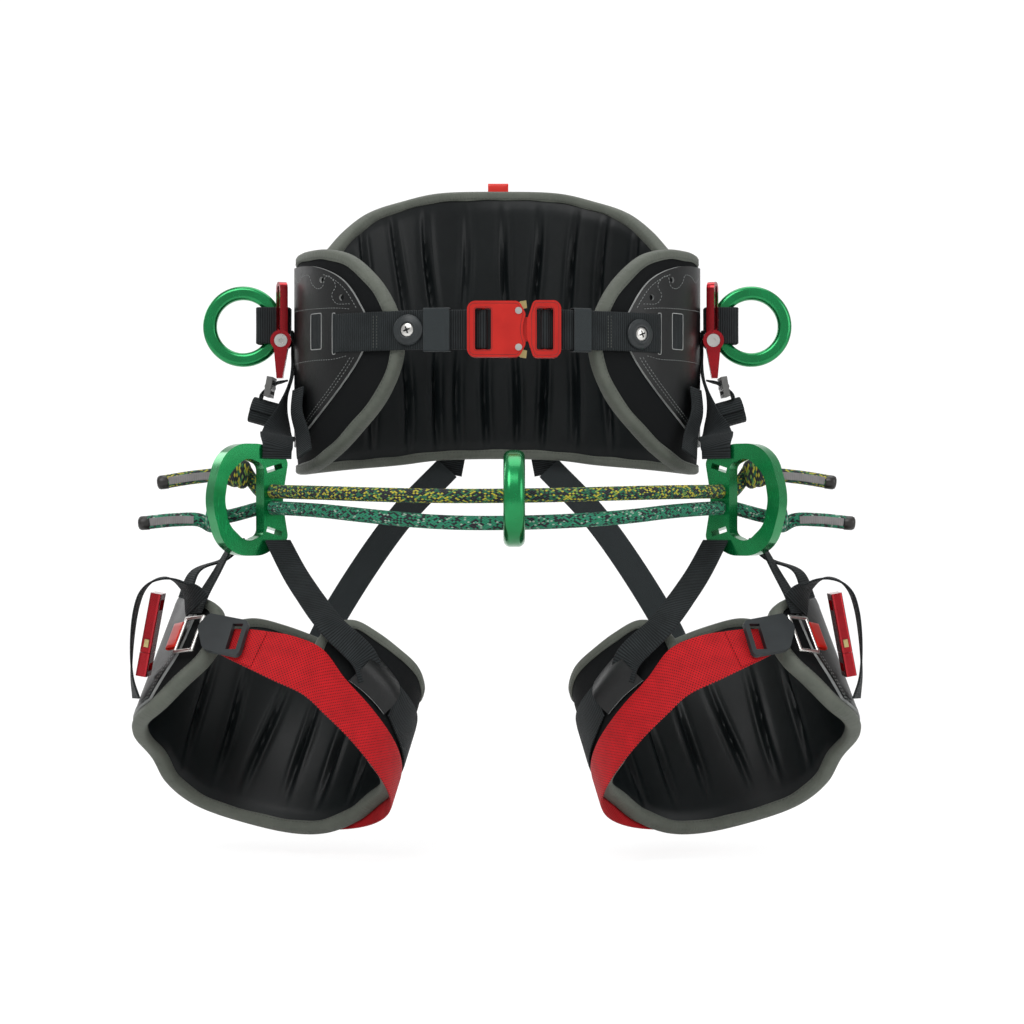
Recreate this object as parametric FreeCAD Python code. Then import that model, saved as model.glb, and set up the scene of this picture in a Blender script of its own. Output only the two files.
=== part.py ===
import FreeCAD, Part
import math
import os

# Tree climbing saddle, in millimetres. +X is the wearer's left, -Y is the front, +Z is up.
# The origin is the centre of the waist opening, level with the front strap's centreline.
# The two sides mirror each other in the plane X = 0, except the front buckle and its straps.

V = FreeCAD.Vector

# ---- driving dimensions -------------------------------------------------------------------
WAIST_X = 204.0            # half width of the belt's outer face
WAIST_Y = 142.0            # half depth of the belt's outer face
PAD_THICK = 12.0           # waist pad
BINDING_WIDTH = 10.0       # bias binding seen on the pad's face
BINDING_PROUD = 1.3        # binding stands this far out of each face of the pad
LEATHER_THICK = 2.8
WEB_WIDTH = 38.0           # front strap and risers
WEB_THICK = 2.2
SEAT_GAP = 0.3             # clearance between soft parts on different bodies

RING_OUTER = 82.0          # side gear ring
RING_INNER = 54.0
RING_WIDTH = 12.0
RING_CENTRE = V(259.0, 0.0, 14.0)

BRIDGE_RING_OUTER = 90.0
BRIDGE_RING_INNER = 62.0
BRIDGE_RING_WIDTH = 20.0
BRIDGE_RING_CENTRE = V(17.0, -215.0, -162.5)

ROPE_DIA = 13.5
ROPE_UPPER_Z = -155.0
ROPE_LOWER_Z = -171.0

D_CENTRE = V(242.0, -110.0, -163.0)
D_TURN = 40.0              # the D's plane, turned about Z from the XZ plane
D_HEIGHT = 109.0
D_THICK = 14.0
ROPE_HOLE_GAP = 0.45       # radial room round the rope in its hole

LEG_CENTRE = V(215.7, -110.0, -379.4)
LEG_AXIS = V(-0.25, 0.50, 0.829)   # up the thigh, on the +X side
LEG_X = 130.0              # half width of the leg loop's outer face
LEG_Y = 97.0               # half depth of the leg loop's outer face

BUCKLE_Y = -146.0          # middle plane of the front buckle
BUCKLE_THICK = 14.0
BUCKLE_HEIGHT = 53.6
FRAME_LEFT = -28.0
FRAME_RIGHT = 28.4
TONGUE_RIGHT = 62.0


# ---- general shapes -----------------------------------------------------------------------
def export(name, *solids):
    """Write one node as STEP, from one solid or a group of separate solids."""
    shape = solids[0] if len(solids) == 1 else Part.makeCompound(list(solids))
    if not shape.isValid():
        print("INVALID", name)
    shape.exportStep("parts/" + name + ".step")
    print(f"{name}: {len(shape.Solids)} solid, {shape.Volume / 1000:.1f} cm3")


def mirrored(shape):
    """The same piece on the other side of the plane X = 0."""
    return shape.mirror(V(0, 0, 0), V(1, 0, 0))


def box(low, high):
    return Part.makeBox(high[0] - low[0], high[1] - low[1], high[2] - low[2], V(*low))


def cylinder(centre, axis, radius, length):
    """A cylinder centred on a point, along an axis."""
    direction = V(axis).normalize()
    return Part.makeCylinder(radius, length, centre - direction * (length / 2), direction)


def placed(shape, origin, x_axis, y_axis, z_axis):
    """Move a shape from its own frame to the frame with this origin and these unit axes."""
    matrix = FreeCAD.Matrix(
        x_axis.x, y_axis.x, z_axis.x, origin.x,
        x_axis.y, y_axis.y, z_axis.y, origin.y,
        x_axis.z, y_axis.z, z_axis.z, origin.z,
        0, 0, 0, 1,
    )
    moved = shape.copy()
    moved.Placement = FreeCAD.Placement(matrix).multiply(shape.Placement)
    return moved


def curve_through(points):
    if len(points) == 2:
        return Part.LineSegment(V(*points[0]), V(*points[1]))
    curve = Part.BSplineCurve()
    curve.interpolate([V(*p) for p in points])
    return curve


def offset_points(points, distance, samples=40):
    """Points beside a smooth curve in the XZ plane, to the right of its direction."""
    curve = curve_through([(x, 0, z) for x, z in points])
    first, last = curve.FirstParameter, curve.LastParameter
    result = []
    for index in range(samples + 1):
        parameter = first + (last - first) * index / samples
        point = curve.value(parameter)
        along = curve.tangent(parameter)[0]
        result.append((point.x + along.z * distance, point.z - along.x * distance))
    return result


def outline_prism(edges, y_low, y_high):
    """Solid between two Y planes from a closed outline of smooth edges, each a list of (x, z).

    Neighbouring edges that don't share an end are joined by a straight line.
    """
    pieces = []
    for index, points in enumerate(edges):
        pieces.append(curve_through([(x, y_low, z) for x, z in points]).toShape())
        start = V(points[-1][0], y_low, points[-1][1])
        following = edges[(index + 1) % len(edges)][0]
        end = V(following[0], y_low, following[1])
        if start.distanceToPoint(end) > 0.01:
            pieces.append(Part.LineSegment(start, end).toShape())
    face = Part.Face(Part.Wire(Part.__sortEdges__(pieces)))
    return face.extrude(V(0, y_high - y_low, 0))


def polygon_prism(points, y_low, y_high):
    """Solid between two Y planes from a straight-edged outline of (x, z)."""
    corners = [V(x, y_low, z) for x, z in points]
    face = Part.Face(Part.makePolygon(corners + corners[:1]))
    return face.extrude(V(0, y_high - y_low, 0))


def elliptic_shell(half_x, half_y, inside, outside, z_low, z_high):
    """Tube with an elliptic section, between two offsets from one ellipse."""
    def column(offset):
        ellipse = Part.Ellipse(V(0, 0, z_low), half_x + offset, half_y + offset)
        return Part.Face(Part.Wire(ellipse.toShape())).extrude(V(0, 0, z_high - z_low))
    return column(outside).cut(column(inside))


def ribbon(path, thickness, low, high):
    """Flat webbing on edge: a smooth path in the XY plane, thickened both ways and extruded."""
    curve = curve_through([(x, y, low) for x, y in path])
    first, last = curve.FirstParameter, curve.LastParameter
    samples = 10 * len(path)
    sides = ([], [])
    for index in range(samples + 1):
        parameter = first + (last - first) * index / samples
        point = curve.value(parameter)
        along = curve.tangent(parameter)[0]
        normal = V(-along.y, along.x, 0)
        sides[0].append(point + normal * (thickness / 2))
        sides[1].append(point - normal * (thickness / 2))
    edges = []
    for side in sides:
        edge = Part.BSplineCurve()
        edge.interpolate(side)
        edges.append(edge.toShape())
    edges.append(Part.LineSegment(sides[0][0], sides[1][0]).toShape())
    edges.append(Part.LineSegment(sides[0][-1], sides[1][-1]).toShape())
    face = Part.Face(Part.Wire(Part.__sortEdges__(edges)))
    return face.extrude(V(0, 0, high - low))


def strap(stations, width, thickness):
    """Webbing that bends and twists: a loft through rectangles.

    Each station is (point, direction across the webbing).
    """
    sections = []
    for index, (point, across) in enumerate(stations):
        before = stations[max(index - 1, 0)][0]
        after = stations[min(index + 1, len(stations) - 1)][0]
        along = (V(*after) - V(*before)).normalize()
        normal = along.cross(V(*across)).normalize()
        side = normal.cross(along).normalize()
        corners = []
        for sign_side, sign_normal in ((-1, -1), (1, -1), (1, 1), (-1, 1)):
            shift = side * (sign_side * width / 2) + normal * (sign_normal * thickness / 2)
            corners.append(V(*point) + shift)
        sections.append(Part.makePolygon(corners + corners[:1]))
    return Part.makeLoft(sections, True, True)


def ring(centre, axis, outer, inner, width, rounding):
    """Flat-faced ring with rounded edges, revolved about its axis."""
    low_x, high_x = inner / 2, outer / 2
    half = width / 2
    r = min(rounding, half - 0.1, (high_x - low_x) / 2 - 0.1)
    corners = (
        (low_x + r, -half + r, math.pi, 1.5 * math.pi),
        (high_x - r, -half + r, 1.5 * math.pi, 2 * math.pi),
        (high_x - r, half - r, 0, 0.5 * math.pi),
        (low_x + r, half - r, 0.5 * math.pi, math.pi),
    )
    edges = []
    ends = []
    for x, z, start, stop in corners:
        points = []
        for angle in (start, (start + stop) / 2, stop):
            points.append(V(x + r * math.cos(angle), 0, z + r * math.sin(angle)))
        edges.append(Part.Arc(*points).toShape())
        ends.append((points[0], points[2]))
    for index, (_, stop) in enumerate(ends):
        edges.append(Part.LineSegment(stop, ends[(index + 1) % 4][0]).toShape())
    face = Part.Face(Part.Wire(Part.__sortEdges__(edges)))
    solid = face.revolve(V(0, 0, 0), V(0, 0, 1), 360)
    solid.Placement = FreeCAD.Placement(centre, FreeCAD.Rotation(V(0, 0, 1), axis))
    return solid


def rounded_bar(start, end, radius):
    """A rod with round ends between two points."""
    rod = Part.makeCylinder(radius, (end - start).Length, start, end - start)
    return rod.fuse([Part.makeSphere(radius, start), Part.makeSphere(radius, end)]).removeSplitter()


def rope_path(points):
    """Straight runs joined by tangent arcs, each as large as its two runs allow."""
    edges = []
    radii = []
    position = points[0]
    for before, corner, after in zip(points, points[1:], points[2:]):
        incoming = (corner - before).normalize()
        outgoing = (after - corner).normalize()
        turn = incoming.getAngle(outgoing)
        setback = 0.45 * min(before.distanceToPoint(corner), corner.distanceToPoint(after))
        radius = setback / math.tan(turn / 2)
        radii.append(radius)
        enter = corner - incoming * setback
        leave = corner + outgoing * setback
        inward = (outgoing - incoming).normalize()
        middle = corner + inward * (radius / math.cos(turn / 2) - radius)
        edges.append(Part.LineSegment(position, enter).toShape())
        edges.append(Part.Arc(enter, middle, leave).toShape())
        position = leave
    edges.append(Part.LineSegment(position, points[-1]).toShape())
    return Part.Wire(edges), radii


def rope_tube(name, points, diameter):
    """A rope of round section along its route."""
    path, radii = rope_path(points)
    circle = Part.Circle(points[0], points[1] - points[0], diameter / 2)
    tube = path.makePipeShell([Part.Wire(circle.toShape())], True, False)
    expected = math.pi * diameter ** 2 / 4 * path.Length
    print(f"{name}: length {path.Length:.1f}, volume ratio {tube.Volume / expected:.4f}, radii",
          [round(r) for r in radii])
    return tube


# ---- cuffs: the waist pad and the leg loops ------------------------------------------------
class Cuff:
    """A padded band round an elliptic tube, cut to outlines seen from the front and the back.

    A front piece is one open edge of (x, z) that starts and ends at the tube's side. The back
    piece has a top and a bottom edge. Beyond the side the outlines run on straight.
    """

    def __init__(self, half_x, half_y, thickness, fronts, back_top, back_bottom, reach):
        self.half_x = half_x
        self.half_y = half_y
        self.thickness = thickness
        self.fronts = fronts
        self.back_top = back_top
        self.back_bottom = back_bottom
        self.reach = reach

    def shell(self, inside, outside):
        return elliptic_shell(self.half_x, self.half_y, inside, outside, -260, 260)

    def outlines(self, inset):
        """The regions that the band keeps, drawn in by an inset."""
        deep = 2 * self.half_y
        regions = []
        for side, edge in self.fronts:
            moved = offset_points(edge, -side * inset)
            end_x = side * self.reach
            far = [(end_x, moved[-1][1]), (end_x, moved[0][1])]
            regions.append(outline_prism([moved, far], -deep, 0))
        top = offset_points(self.back_top, inset)
        bottom = offset_points(self.back_bottom, inset)
        left = [(-self.reach, bottom[-1][1]), (-self.reach, top[0][1])]
        right = [(self.reach, top[-1][1]), (self.reach, bottom[0][1])]
        regions.append(outline_prism([top, right, bottom, left], 0, deep))
        return regions

    def cut_band(self, band, inset):
        pieces = [band.common(region) for region in self.outlines(inset)]
        return pieces[0].fuse(pieces[1:]).removeSplitter()

    def pad(self):
        return self.cut_band(self.shell(-self.thickness, 0), BINDING_WIDTH)

    def binding(self):
        proud = self.shell(-self.thickness - BINDING_PROUD, BINDING_PROUD)
        whole = self.cut_band(proud, 0.0)
        hollow = self.cut_band(self.shell(-self.thickness - 3, 3), BINDING_WIDTH)
        return whole.cut(hollow)


WING_EDGE = [
    (204, 84), (190, 85.5), (168, 84), (146, 76), (120, 53), (104, 29), (94, 2), (93, -15),
    (97, -36), (112, -67), (136, -95), (162, -119), (186, -134), (204, -137),
]
BACK_TOP = [
    (-204, 84), (-191, 86), (-180, 101), (-165, 121), (-140, 143), (-106, 157), (-68, 167), (0, 170),
    (68, 167), (106, 157), (140, 143), (165, 121), (180, 101), (191, 86), (204, 84),
]
BACK_BOTTOM = [(204, -137), (148, -129), (107, -125), (68, -120), (0, -118),
               (-68, -120), (-107, -125), (-148, -129), (-204, -137)]


def waist_cuff():
    right = (1, WING_EDGE)
    left = (-1, [(-x, z) for x, z in WING_EDGE])
    return Cuff(WAIST_X, WAIST_Y, PAD_THICK, [left, right], BACK_TOP, BACK_BOTTOM, 240)


def waist_point(x, offset):
    """A point on the belt's front, at an offset out from its outer face."""
    half_x = WAIST_X + offset
    half_y = WAIST_Y + offset
    return V(x, -half_y * math.sqrt(1 - (x / half_x) ** 2), 0)


def waist_normal(x):
    """The belt's outward direction at a point on its front."""
    point = waist_point(x, 0)
    return V(point.x / WAIST_X ** 2, point.y / WAIST_Y ** 2, 0).normalize()


# ---- waist belt ----------------------------------------------------------------------------
LEATHER_EDGE = [(206, 72), (178, 67), (151, 52), (134, 28), (124, 2), (133, -22),
                (153, -51), (177, -79), (194, -97), (206, -109)]
LEATHER_BACK = 45.0        # the leather ends this far behind the belt's widest place
SLOT_X = 160.0             # the front strap comes out of the leather here
WINDOW_X = 179.0
ACCESSORY_HOLES = [(172.0, 54.0), (151.0, 35.0)]
ACCESSORY_RADIUS = 3.0


def wing_leather():
    """The +X leather side plate, wrapped over the pad, with its slots and holes."""
    shell = elliptic_shell(WAIST_X, WAIST_Y, 0, LEATHER_THICK, -120, 90)
    far = [(240, LEATHER_EDGE[-1][1]), (240, LEATHER_EDGE[0][1])]
    front = shell.common(outline_prism([LEATHER_EDGE, far], -200, 0))
    side = shell.common(box((150, 0, LEATHER_EDGE[-1][1]), (240, LEATHER_BACK, LEATHER_EDGE[0][1])))
    plate = front.fuse(side).removeSplitter()
    window = box((WINDOW_X - 5.5, -140, -14), (WINDOW_X + 5.5, -20, 21))
    slot = box((SLOT_X - 1.2, -140, -20), (SLOT_X + 1.2, -20, 20))
    plate = plate.cut([window, slot])
    for x, z in ACCESSORY_HOLES:
        centre = waist_point(x, LEATHER_THICK / 2) + V(0, 0, z)
        plate = plate.cut(cylinder(centre, waist_normal(x), ACCESSORY_RADIUS, 12))
    return plate


def strap_line(x_values, offset):
    return [(p.x, p.y) for p in (waist_point(x, offset) for x in x_values)]


STRAP_OFFSET = LEATHER_THICK + SEAT_GAP + WEB_THICK / 2
BAR_RADIUS = 2.0
FOLD_RADIUS = BAR_RADIUS + 0.15 + WEB_THICK / 2
FRAME_BAR_X = -12.5        # the pins that the webbing turns round, inside the two slots
TONGUE_BAR_X = 46.5


FRONT_LINE = [(90, -133.6), (76, -138.9)]     # the strap leaves the wing for its buckle
BACK_LAYER = [(74, -135.0), (89, -130.4)]     # the folded-back tail, behind it


def front_strap(side, bar_x):
    """Front webbing from the leather's slot to its buckle, folded round the slot's pin."""
    def by_pin(inboard, back):
        return bar_x - side * inboard, BUCKLE_Y + back

    path = strap_line([side * x for x in (SLOT_X, 148, 134, 120, 108)], STRAP_OFFSET)
    path += [(side * x, y) for x, y in FRONT_LINE]
    gap = abs(side * FRONT_LINE[-1][0] - bar_x)
    if gap > 50:
        path.append((side * 56, -142.5))
    path += [by_pin(-22, 2.6), by_pin(-15, 2.0), by_pin(-7.5, 0.3)]
    for degrees in range(-120, 91, 35):
        angle = math.radians(degrees)
        path.append(by_pin(FOLD_RADIUS * math.cos(angle), FOLD_RADIUS * math.sin(angle)))
    path += [by_pin(-8, 5.0), by_pin(-22, 6.2)]
    if gap > 50:
        path.append((side * 56, -138.9))
    path += [(side * x, y) for x, y in BACK_LAYER]
    return ribbon(path, WEB_THICK, -WEB_WIDTH / 2, WEB_WIDTH / 2)


def keeper(side, x, middle_y, slope, half_width, half_gap):
    """Elastic keeper round the two layers of a front strap."""
    wall = 1.0
    loop = box((-half_width, -half_gap - wall, -21.2), (half_width, half_gap + wall, 21.2))
    loop = loop.cut(box((-40, -half_gap, -20.0), (40, half_gap, 20.0)))
    loop.rotate(V(0, 0, 0), V(0, 0, 1), side * slope)
    loop.translate(V(side * x, middle_y, 0))
    return loop


# ---- strap screws: a bright domed screw in a black cup washer -----------------------------
SCREW_PLACES = [(-84.0, 0.0), (139.0, -2.0)]
CUP_RADIUS = 15.0
CUP_HEIGHT = 4.2
HEAD_RADIUS = 6.8
SHANK_RADIUS = 2.6


def screw_frame(shape, x, z):
    """Seat a piece built on +Z on the front strap's outer face."""
    outward = waist_normal(x)
    seat = waist_point(x, STRAP_OFFSET + WEB_THICK / 2) + V(0, 0, z)
    seat = seat + outward * (3.2 if abs(x) < 100 else 0.4)
    up = V(0, 0, 1)
    return placed(shape, seat, up.cross(outward), up, outward)


def cup_washer(x, z):
    cup = Part.makeCone(CUP_RADIUS, 9.6, CUP_HEIGHT)
    return screw_frame(cup.cut(Part.makeCylinder(HEAD_RADIUS + 0.3, 20, V(0, 0, 0.8)))
                       .cut(Part.makeCylinder(SHANK_RADIUS + 0.1, 20, V(0, 0, -5))), x, z)


def strap_screw(x, z):
    head = Part.makeCylinder(HEAD_RADIUS, 2.6, V(0, 0, 0.8))
    dome = Part.makeSphere(14.0, V(0, 0, -9.2)).common(Part.makeCylinder(HEAD_RADIUS, 9, V(0, 0, 3.4)))
    shank = Part.makeCylinder(SHANK_RADIUS, 4.6, V(0, 0, -3.8))
    cross = box((-4, -0.8, 3.0), (4, 0.8, 9)).fuse(box((-0.8, -4, 3.0), (0.8, 4, 9)))
    return screw_frame(head.fuse([dome, shank]).cut(cross).removeSplitter(), x, z)


def shank_clearance(x, z):
    return screw_frame(Part.makeCylinder(SHANK_RADIUS + 0.1, 14, V(0, 0, -9)), x, z)


# ---- front buckle --------------------------------------------------------------------------
def rounded_outline(corners, y_low, y_high):
    """Prism along Y from an outline in XZ whose corners are (x, z, radius)."""
    edges = []
    count = len(corners)
    ends = []
    for index, (x, z, radius) in enumerate(corners):
        corner = V(x, y_low, z)
        before = corners[index - 1]
        after = corners[(index + 1) % count]
        incoming = (corner - V(before[0], y_low, before[1])).normalize()
        outgoing = (V(after[0], y_low, after[1]) - corner).normalize()
        turn = incoming.getAngle(outgoing)
        setback = radius * math.tan(turn / 2)
        enter = corner - incoming * setback
        leave = corner + outgoing * setback
        inward = (outgoing - incoming).normalize()
        middle = corner + inward * (radius / math.cos(turn / 2) - radius)
        edges.append(Part.Arc(enter, middle, leave).toShape())
        ends.append((enter, leave))
    for index, (_, leave) in enumerate(ends):
        enter = ends[(index + 1) % count][0]
        if leave.distanceToPoint(enter) > 0.001:
            edges.append(Part.LineSegment(leave, enter).toShape())
    face = Part.Face(Part.Wire(Part.__sortEdges__(edges)))
    return face.extrude(V(0, y_high - y_low, 0))


FRONT_FACE = BUCKLE_Y - BUCKLE_THICK / 2
BACK_FACE = BUCKLE_Y + BUCKLE_THICK / 2
RIVET_X = 21.3
RIVET_Z = 17.5
RIVET_RADIUS = 2.4
CAVITY_HALF = 2.6          # half the height of the hollow that the tongue enters


def buckle_frame():
    """Female half: two plates in one piece, with the webbing slot and the tongue's hollow."""
    half = BUCKLE_HEIGHT / 2
    body = rounded_outline([
        (FRAME_LEFT, -half, 8), (FRAME_LEFT, half, 8), (22, half, 7), (FRAME_RIGHT, 14, 6),
        (23.5, 0, 30), (FRAME_RIGHT, -14, 6), (22, -half, 7),
    ], FRONT_FACE, BACK_FACE)
    slot = rounded_outline([(-20.5, -20, 2), (-20.5, 20, 2), (-5, 20, 2), (-5, -20, 2)],
                           FRONT_FACE - 1, BACK_FACE + 1)
    strap_room = box((FRAME_LEFT - 1, BUCKLE_Y - 0.9, -20), (-10, BACK_FACE + 1, 20))
    hollow = box((2, BUCKLE_Y - CAVITY_HALF, -15), (40, BUCKLE_Y + CAVITY_HALF, 15))
    latch_room = box((11, BUCKLE_Y - CAVITY_HALF, -40), (40, BUCKLE_Y + CAVITY_HALF, 40))
    body = body.cut([slot, strap_room, hollow, latch_room])
    pin = cylinder(V(FRAME_BAR_X, BUCKLE_Y, 0), V(0, 0, 1), BAR_RADIUS, 42)
    for sign in (-1, 1):
        body = body.cut(cylinder(V(RIVET_X, BUCKLE_Y, sign * RIVET_Z), V(0, 1, 0), RIVET_RADIUS, 30))
    return body.fuse(pin).removeSplitter()


def buckle_rivet(sign):
    place = V(RIVET_X, BUCKLE_Y, sign * RIVET_Z)
    shank = cylinder(place, V(0, 1, 0), RIVET_RADIUS, BUCKLE_THICK + 1.2)
    cap = cylinder(place - V(0, BUCKLE_THICK / 2 + 0.5, 0), V(0, 1, 0), RIVET_RADIUS + 0.9, 0.9)
    return shank.fuse(cap).removeSplitter()


def buckle_tongue():
    """Male half: the webbing slot and a notched tongue that the two latches hold."""
    half = BUCKLE_HEIGHT / 2 + 0.6
    body = rounded_outline([
        (TONGUE_RIGHT, half, 8), (TONGUE_RIGHT, -half, 8), (35.5, -half, 5), (31.5, -15, 5),
        (26.2, 0, 26), (31.5, 15, 5), (35.5, half, 5),
    ], FRONT_FACE, BACK_FACE)
    slot = rounded_outline([(38.5, -20, 2), (38.5, 20, 2), (54.5, 20, 2), (54.5, -20, 2)],
                           FRONT_FACE - 1, BACK_FACE + 1)
    strap_room = box((44, BUCKLE_Y - 0.9, -20), (TONGUE_RIGHT + 1, BACK_FACE + 1, 20))
    keep_out = box((0, FRONT_FACE - 1, -40), (29.4, BACK_FACE + 1, 40))
    pin = cylinder(V(TONGUE_BAR_X, BUCKLE_Y, 0), V(0, 0, 1), BAR_RADIUS, 42)
    body = body.cut([slot, strap_room, keep_out]).fuse(pin)
    blade = polygon_prism([
        (31, -11.5), (31, 11.5), (17, 11.5), (17, 8.5), (12.5, 8.5), (12.5, 11.5), (9, 11.5),
        (4.5, 7), (4.5, -7), (9, -11.5), (12.5, -11.5), (12.5, -8.5), (17, -8.5), (17, -11.5),
    ], BUCKLE_Y - 2.1, BUCKLE_Y + 2.1)
    return body.fuse(blade).removeSplitter()


def buckle_latch(sign):
    """Brass latch that turns on its rivet: a hook in the tongue's notch and a thumb tip."""
    plate = polygon_prism([
        (13.2, sign * 11.9), (16.2, sign * 11.9), (24.5, sign * 13.0),
        (25.4, sign * 19.5), (29.4, sign * 20.5), (28.6, sign * 27.6), (23.0, sign * 26.8),
        (16.4, sign * 21.5), (13.2, sign * 15.5),
    ], BUCKLE_Y - 1.9, BUCKLE_Y + 1.9)
    bore = cylinder(V(RIVET_X, BUCKLE_Y, sign * RIVET_Z), V(0, 1, 0), RIVET_RADIUS + 0.06, 30)
    return plate.cut(bore)


# ---- side ring, its webbing loop and the bracket in front of it ---------------------------
def side_ring():
    return ring(RING_CENTRE, V(0, 1, 0), RING_OUTER, RING_INNER, RING_WIDTH, 4.5)


LOOP_BOTTOM = -4.0
LOOP_TOP = 33.0
LOOP_INNER_X = 213.5       # room that the ring's section has inside the loop
LOOP_OUTER_X = 241.0
LOOP_HALF_Y = 9.6
LOOP_WALL = 4.6            # two layers of webbing


def ring_loop():
    """Closed webbing loop that holds the side ring against the belt."""
    inner = box((LOOP_INNER_X, -LOOP_HALF_Y, LOOP_BOTTOM - 1), (LOOP_OUTER_X, LOOP_HALF_Y, LOOP_TOP + 1))
    outer = box((LOOP_INNER_X - 3.2, -LOOP_HALF_Y - LOOP_WALL, LOOP_BOTTOM),
                (LOOP_OUTER_X + LOOP_WALL, LOOP_HALF_Y + LOOP_WALL, LOOP_TOP))
    upright = [e for e in outer.Edges
               if abs(e.Vertexes[0].Point.z - e.Vertexes[1].Point.z) > 20 and e.Vertexes[0].Point.x > 230]
    return outer.makeFillet(7.0, upright).cut(inner)


HUB_CENTRE = V(218.0, -23.0, -2.0)
HUB_RADIUS = 10.5
HUB_LENGTH = 15.0
BRACKET_SCREW_RADIUS = 4.0


def side_bracket():
    """Forged anodised bracket: a hub on its screw, a long eye above and a tongue below."""
    hub = cylinder(HUB_CENTRE, V(0, 1, 0), HUB_RADIUS, HUB_LENGTH)
    eye = rounded_outline([(-7.5, -29, 7.4), (-7.5, 29, 7.4), (7.5, 29, 7.4), (7.5, -29, 7.4)], -4, 4)
    slit = rounded_outline([(-3.2, -20, 3.1), (-3.2, 25, 3.1), (3.2, 25, 3.1), (3.2, -20, 3.1)], -5, 5)
    eye = eye.cut(slit)
    eye.rotate(V(0, 0, 0), V(0, 0, 1), 68)
    eye.translate(V(HUB_CENTRE.x - 0.5, HUB_CENTRE.y, 28.5))
    tongue = polygon_prism([(-8, 0), (8, 0), (4.5, -38), (-1.5, -38)], -5, 5)
    tongue.translate(V(HUB_CENTRE.x, HUB_CENTRE.y, HUB_CENTRE.z))
    bore = cylinder(HUB_CENTRE, V(0, 1, 0), BRACKET_SCREW_RADIUS + 0.06, 60)
    recess = cylinder(HUB_CENTRE - V(0, HUB_LENGTH / 2, 0), V(0, 1, 0), 7.0, 9.0)
    return hub.fuse([eye, tongue]).cut([bore, recess]).removeSplitter()


def bracket_screw():
    """Socket-head screw through the bracket's hub into the webbing loop."""
    front = HUB_CENTRE.y - HUB_LENGTH / 2
    back = HUB_CENTRE.y + HUB_LENGTH / 2
    head = Part.makeCylinder(6.6, 3.9, V(HUB_CENTRE.x, front + 0.5, HUB_CENTRE.z), V(0, 1, 0))
    shank = Part.makeCylinder(BRACKET_SCREW_RADIUS, back - front + 0.7,
                              V(HUB_CENTRE.x, front + 0.5, HUB_CENTRE.z), V(0, 1, 0))
    socket = Part.makeCylinder(2.6, 2.4, V(HUB_CENTRE.x, front + 0.5, HUB_CENTRE.z), V(0, 1, 0))
    return head.fuse(shank).cut(socket).removeSplitter()


# ---- bridge D's and the webbing that carries them -----------------------------------------
D_OUT = V(math.cos(math.radians(D_TURN)), -math.sin(math.radians(D_TURN)), 0)
D_BACK = V(math.sin(math.radians(D_TURN)), math.cos(math.radians(D_TURN)), 0)
HOLE_OUT = -25.0           # the rope holes, inboard of the D's centre
ROPE_HOLE_RADIUS = ROPE_DIA / 2 + ROPE_HOLE_GAP


def d_point(out, back, z):
    return D_CENTRE + D_OUT * out + D_BACK * back + V(0, 0, z - D_CENTRE.z)


def bridge_d():
    """Forged D: an outboard arc, a bar with two rope holes, and two webbing slots inboard."""
    half = D_HEIGHT / 2
    thick = D_THICK / 2
    body = rounded_outline([
        (-12, half, 30), (30, half, 34), (47, 0, 60), (30, -half, 34), (-12, -half, 30),
        (-43, -40, 9), (-38, -13, 10), (-36, 0, 40), (-38, 13, 10), (-43, 40, 9),
    ], -thick, thick)
    window = rounded_outline([
        (-14, 34, 8), (6, 42, 16), (27, 24, 26), (31, 0, 30), (27, -24, 26), (6, -42, 16), (-14, -34, 8),
    ], -thick - 1, thick + 1)
    cuts = [window]
    for sign in (-1, 1):
        slot = box((-35.5, -thick - 1, -2.6), (-17, thick + 1, 2.6))
        slot.rotate(V(-26, 0, 0), V(0, 1, 0), sign * 16)
        slot.translate(V(0, 0, sign * 31))
        cuts.append(slot)
    for z in (ROPE_UPPER_Z, ROPE_LOWER_Z):
        cuts.append(cylinder(V(HOLE_OUT, 0, z - D_CENTRE.z), V(0, 1, 0), ROPE_HOLE_RADIUS, 40))
    body = body.cut(cuts)
    return placed(body, D_CENTRE, D_OUT, D_BACK, V(0, 0, 1))


def belt_riser():
    """Wide webbing from the belt's side, turning as it goes down to the D's upper slot."""
    top = V(0, 1, 0)
    bottom = D_OUT
    return strap([
        ((208.3, 5, 8), top), ((208.6, 2, -22), top), ((211.5, -24, -55), (0.1, 1, 0)),
        ((213, -48, -81), (-0.25, 0.95, 0)), ((215, -66, -96), (-0.6, 0.8, 0)),
        (tuple(d_point(-34, 0.5, -101.5)), -bottom), (tuple(d_point(-28, -9.5, -111)), -bottom),
        (tuple(d_point(-27.5, -9.5, -123)), -bottom),
    ], 34.0, WEB_THICK)


def wing_riser():
    """Narrow webbing from the leather's lower pocket to the D's upper slot."""
    return strap([
        ((198, -56, -52), (0.6, 0.8, 0)), ((199, -63, -75), (0.6, 0.8, 0)),
        ((192.5, -74, -98), (0.65, 0.76, 0)), ((189, -90, -118), (0.70, 0.71, 0)),
    ], 20.0, WEB_THICK)


def riser_tail():
    """Rolled and stitched end of the side webbing, beside the riser."""
    roll = box((-13, -17, -15), (13, 17, 15))
    edges = [e for e in roll.Edges if abs(e.Vertexes[0].Point.y - e.Vertexes[1].Point.y) > 20]
    roll = roll.makeFillet(5.0, edges)
    roll.rotate(V(0, 0, 0), V(0, 1, 0), -16)
    roll.translate(V(234.5, -40, -76))
    return roll


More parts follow.
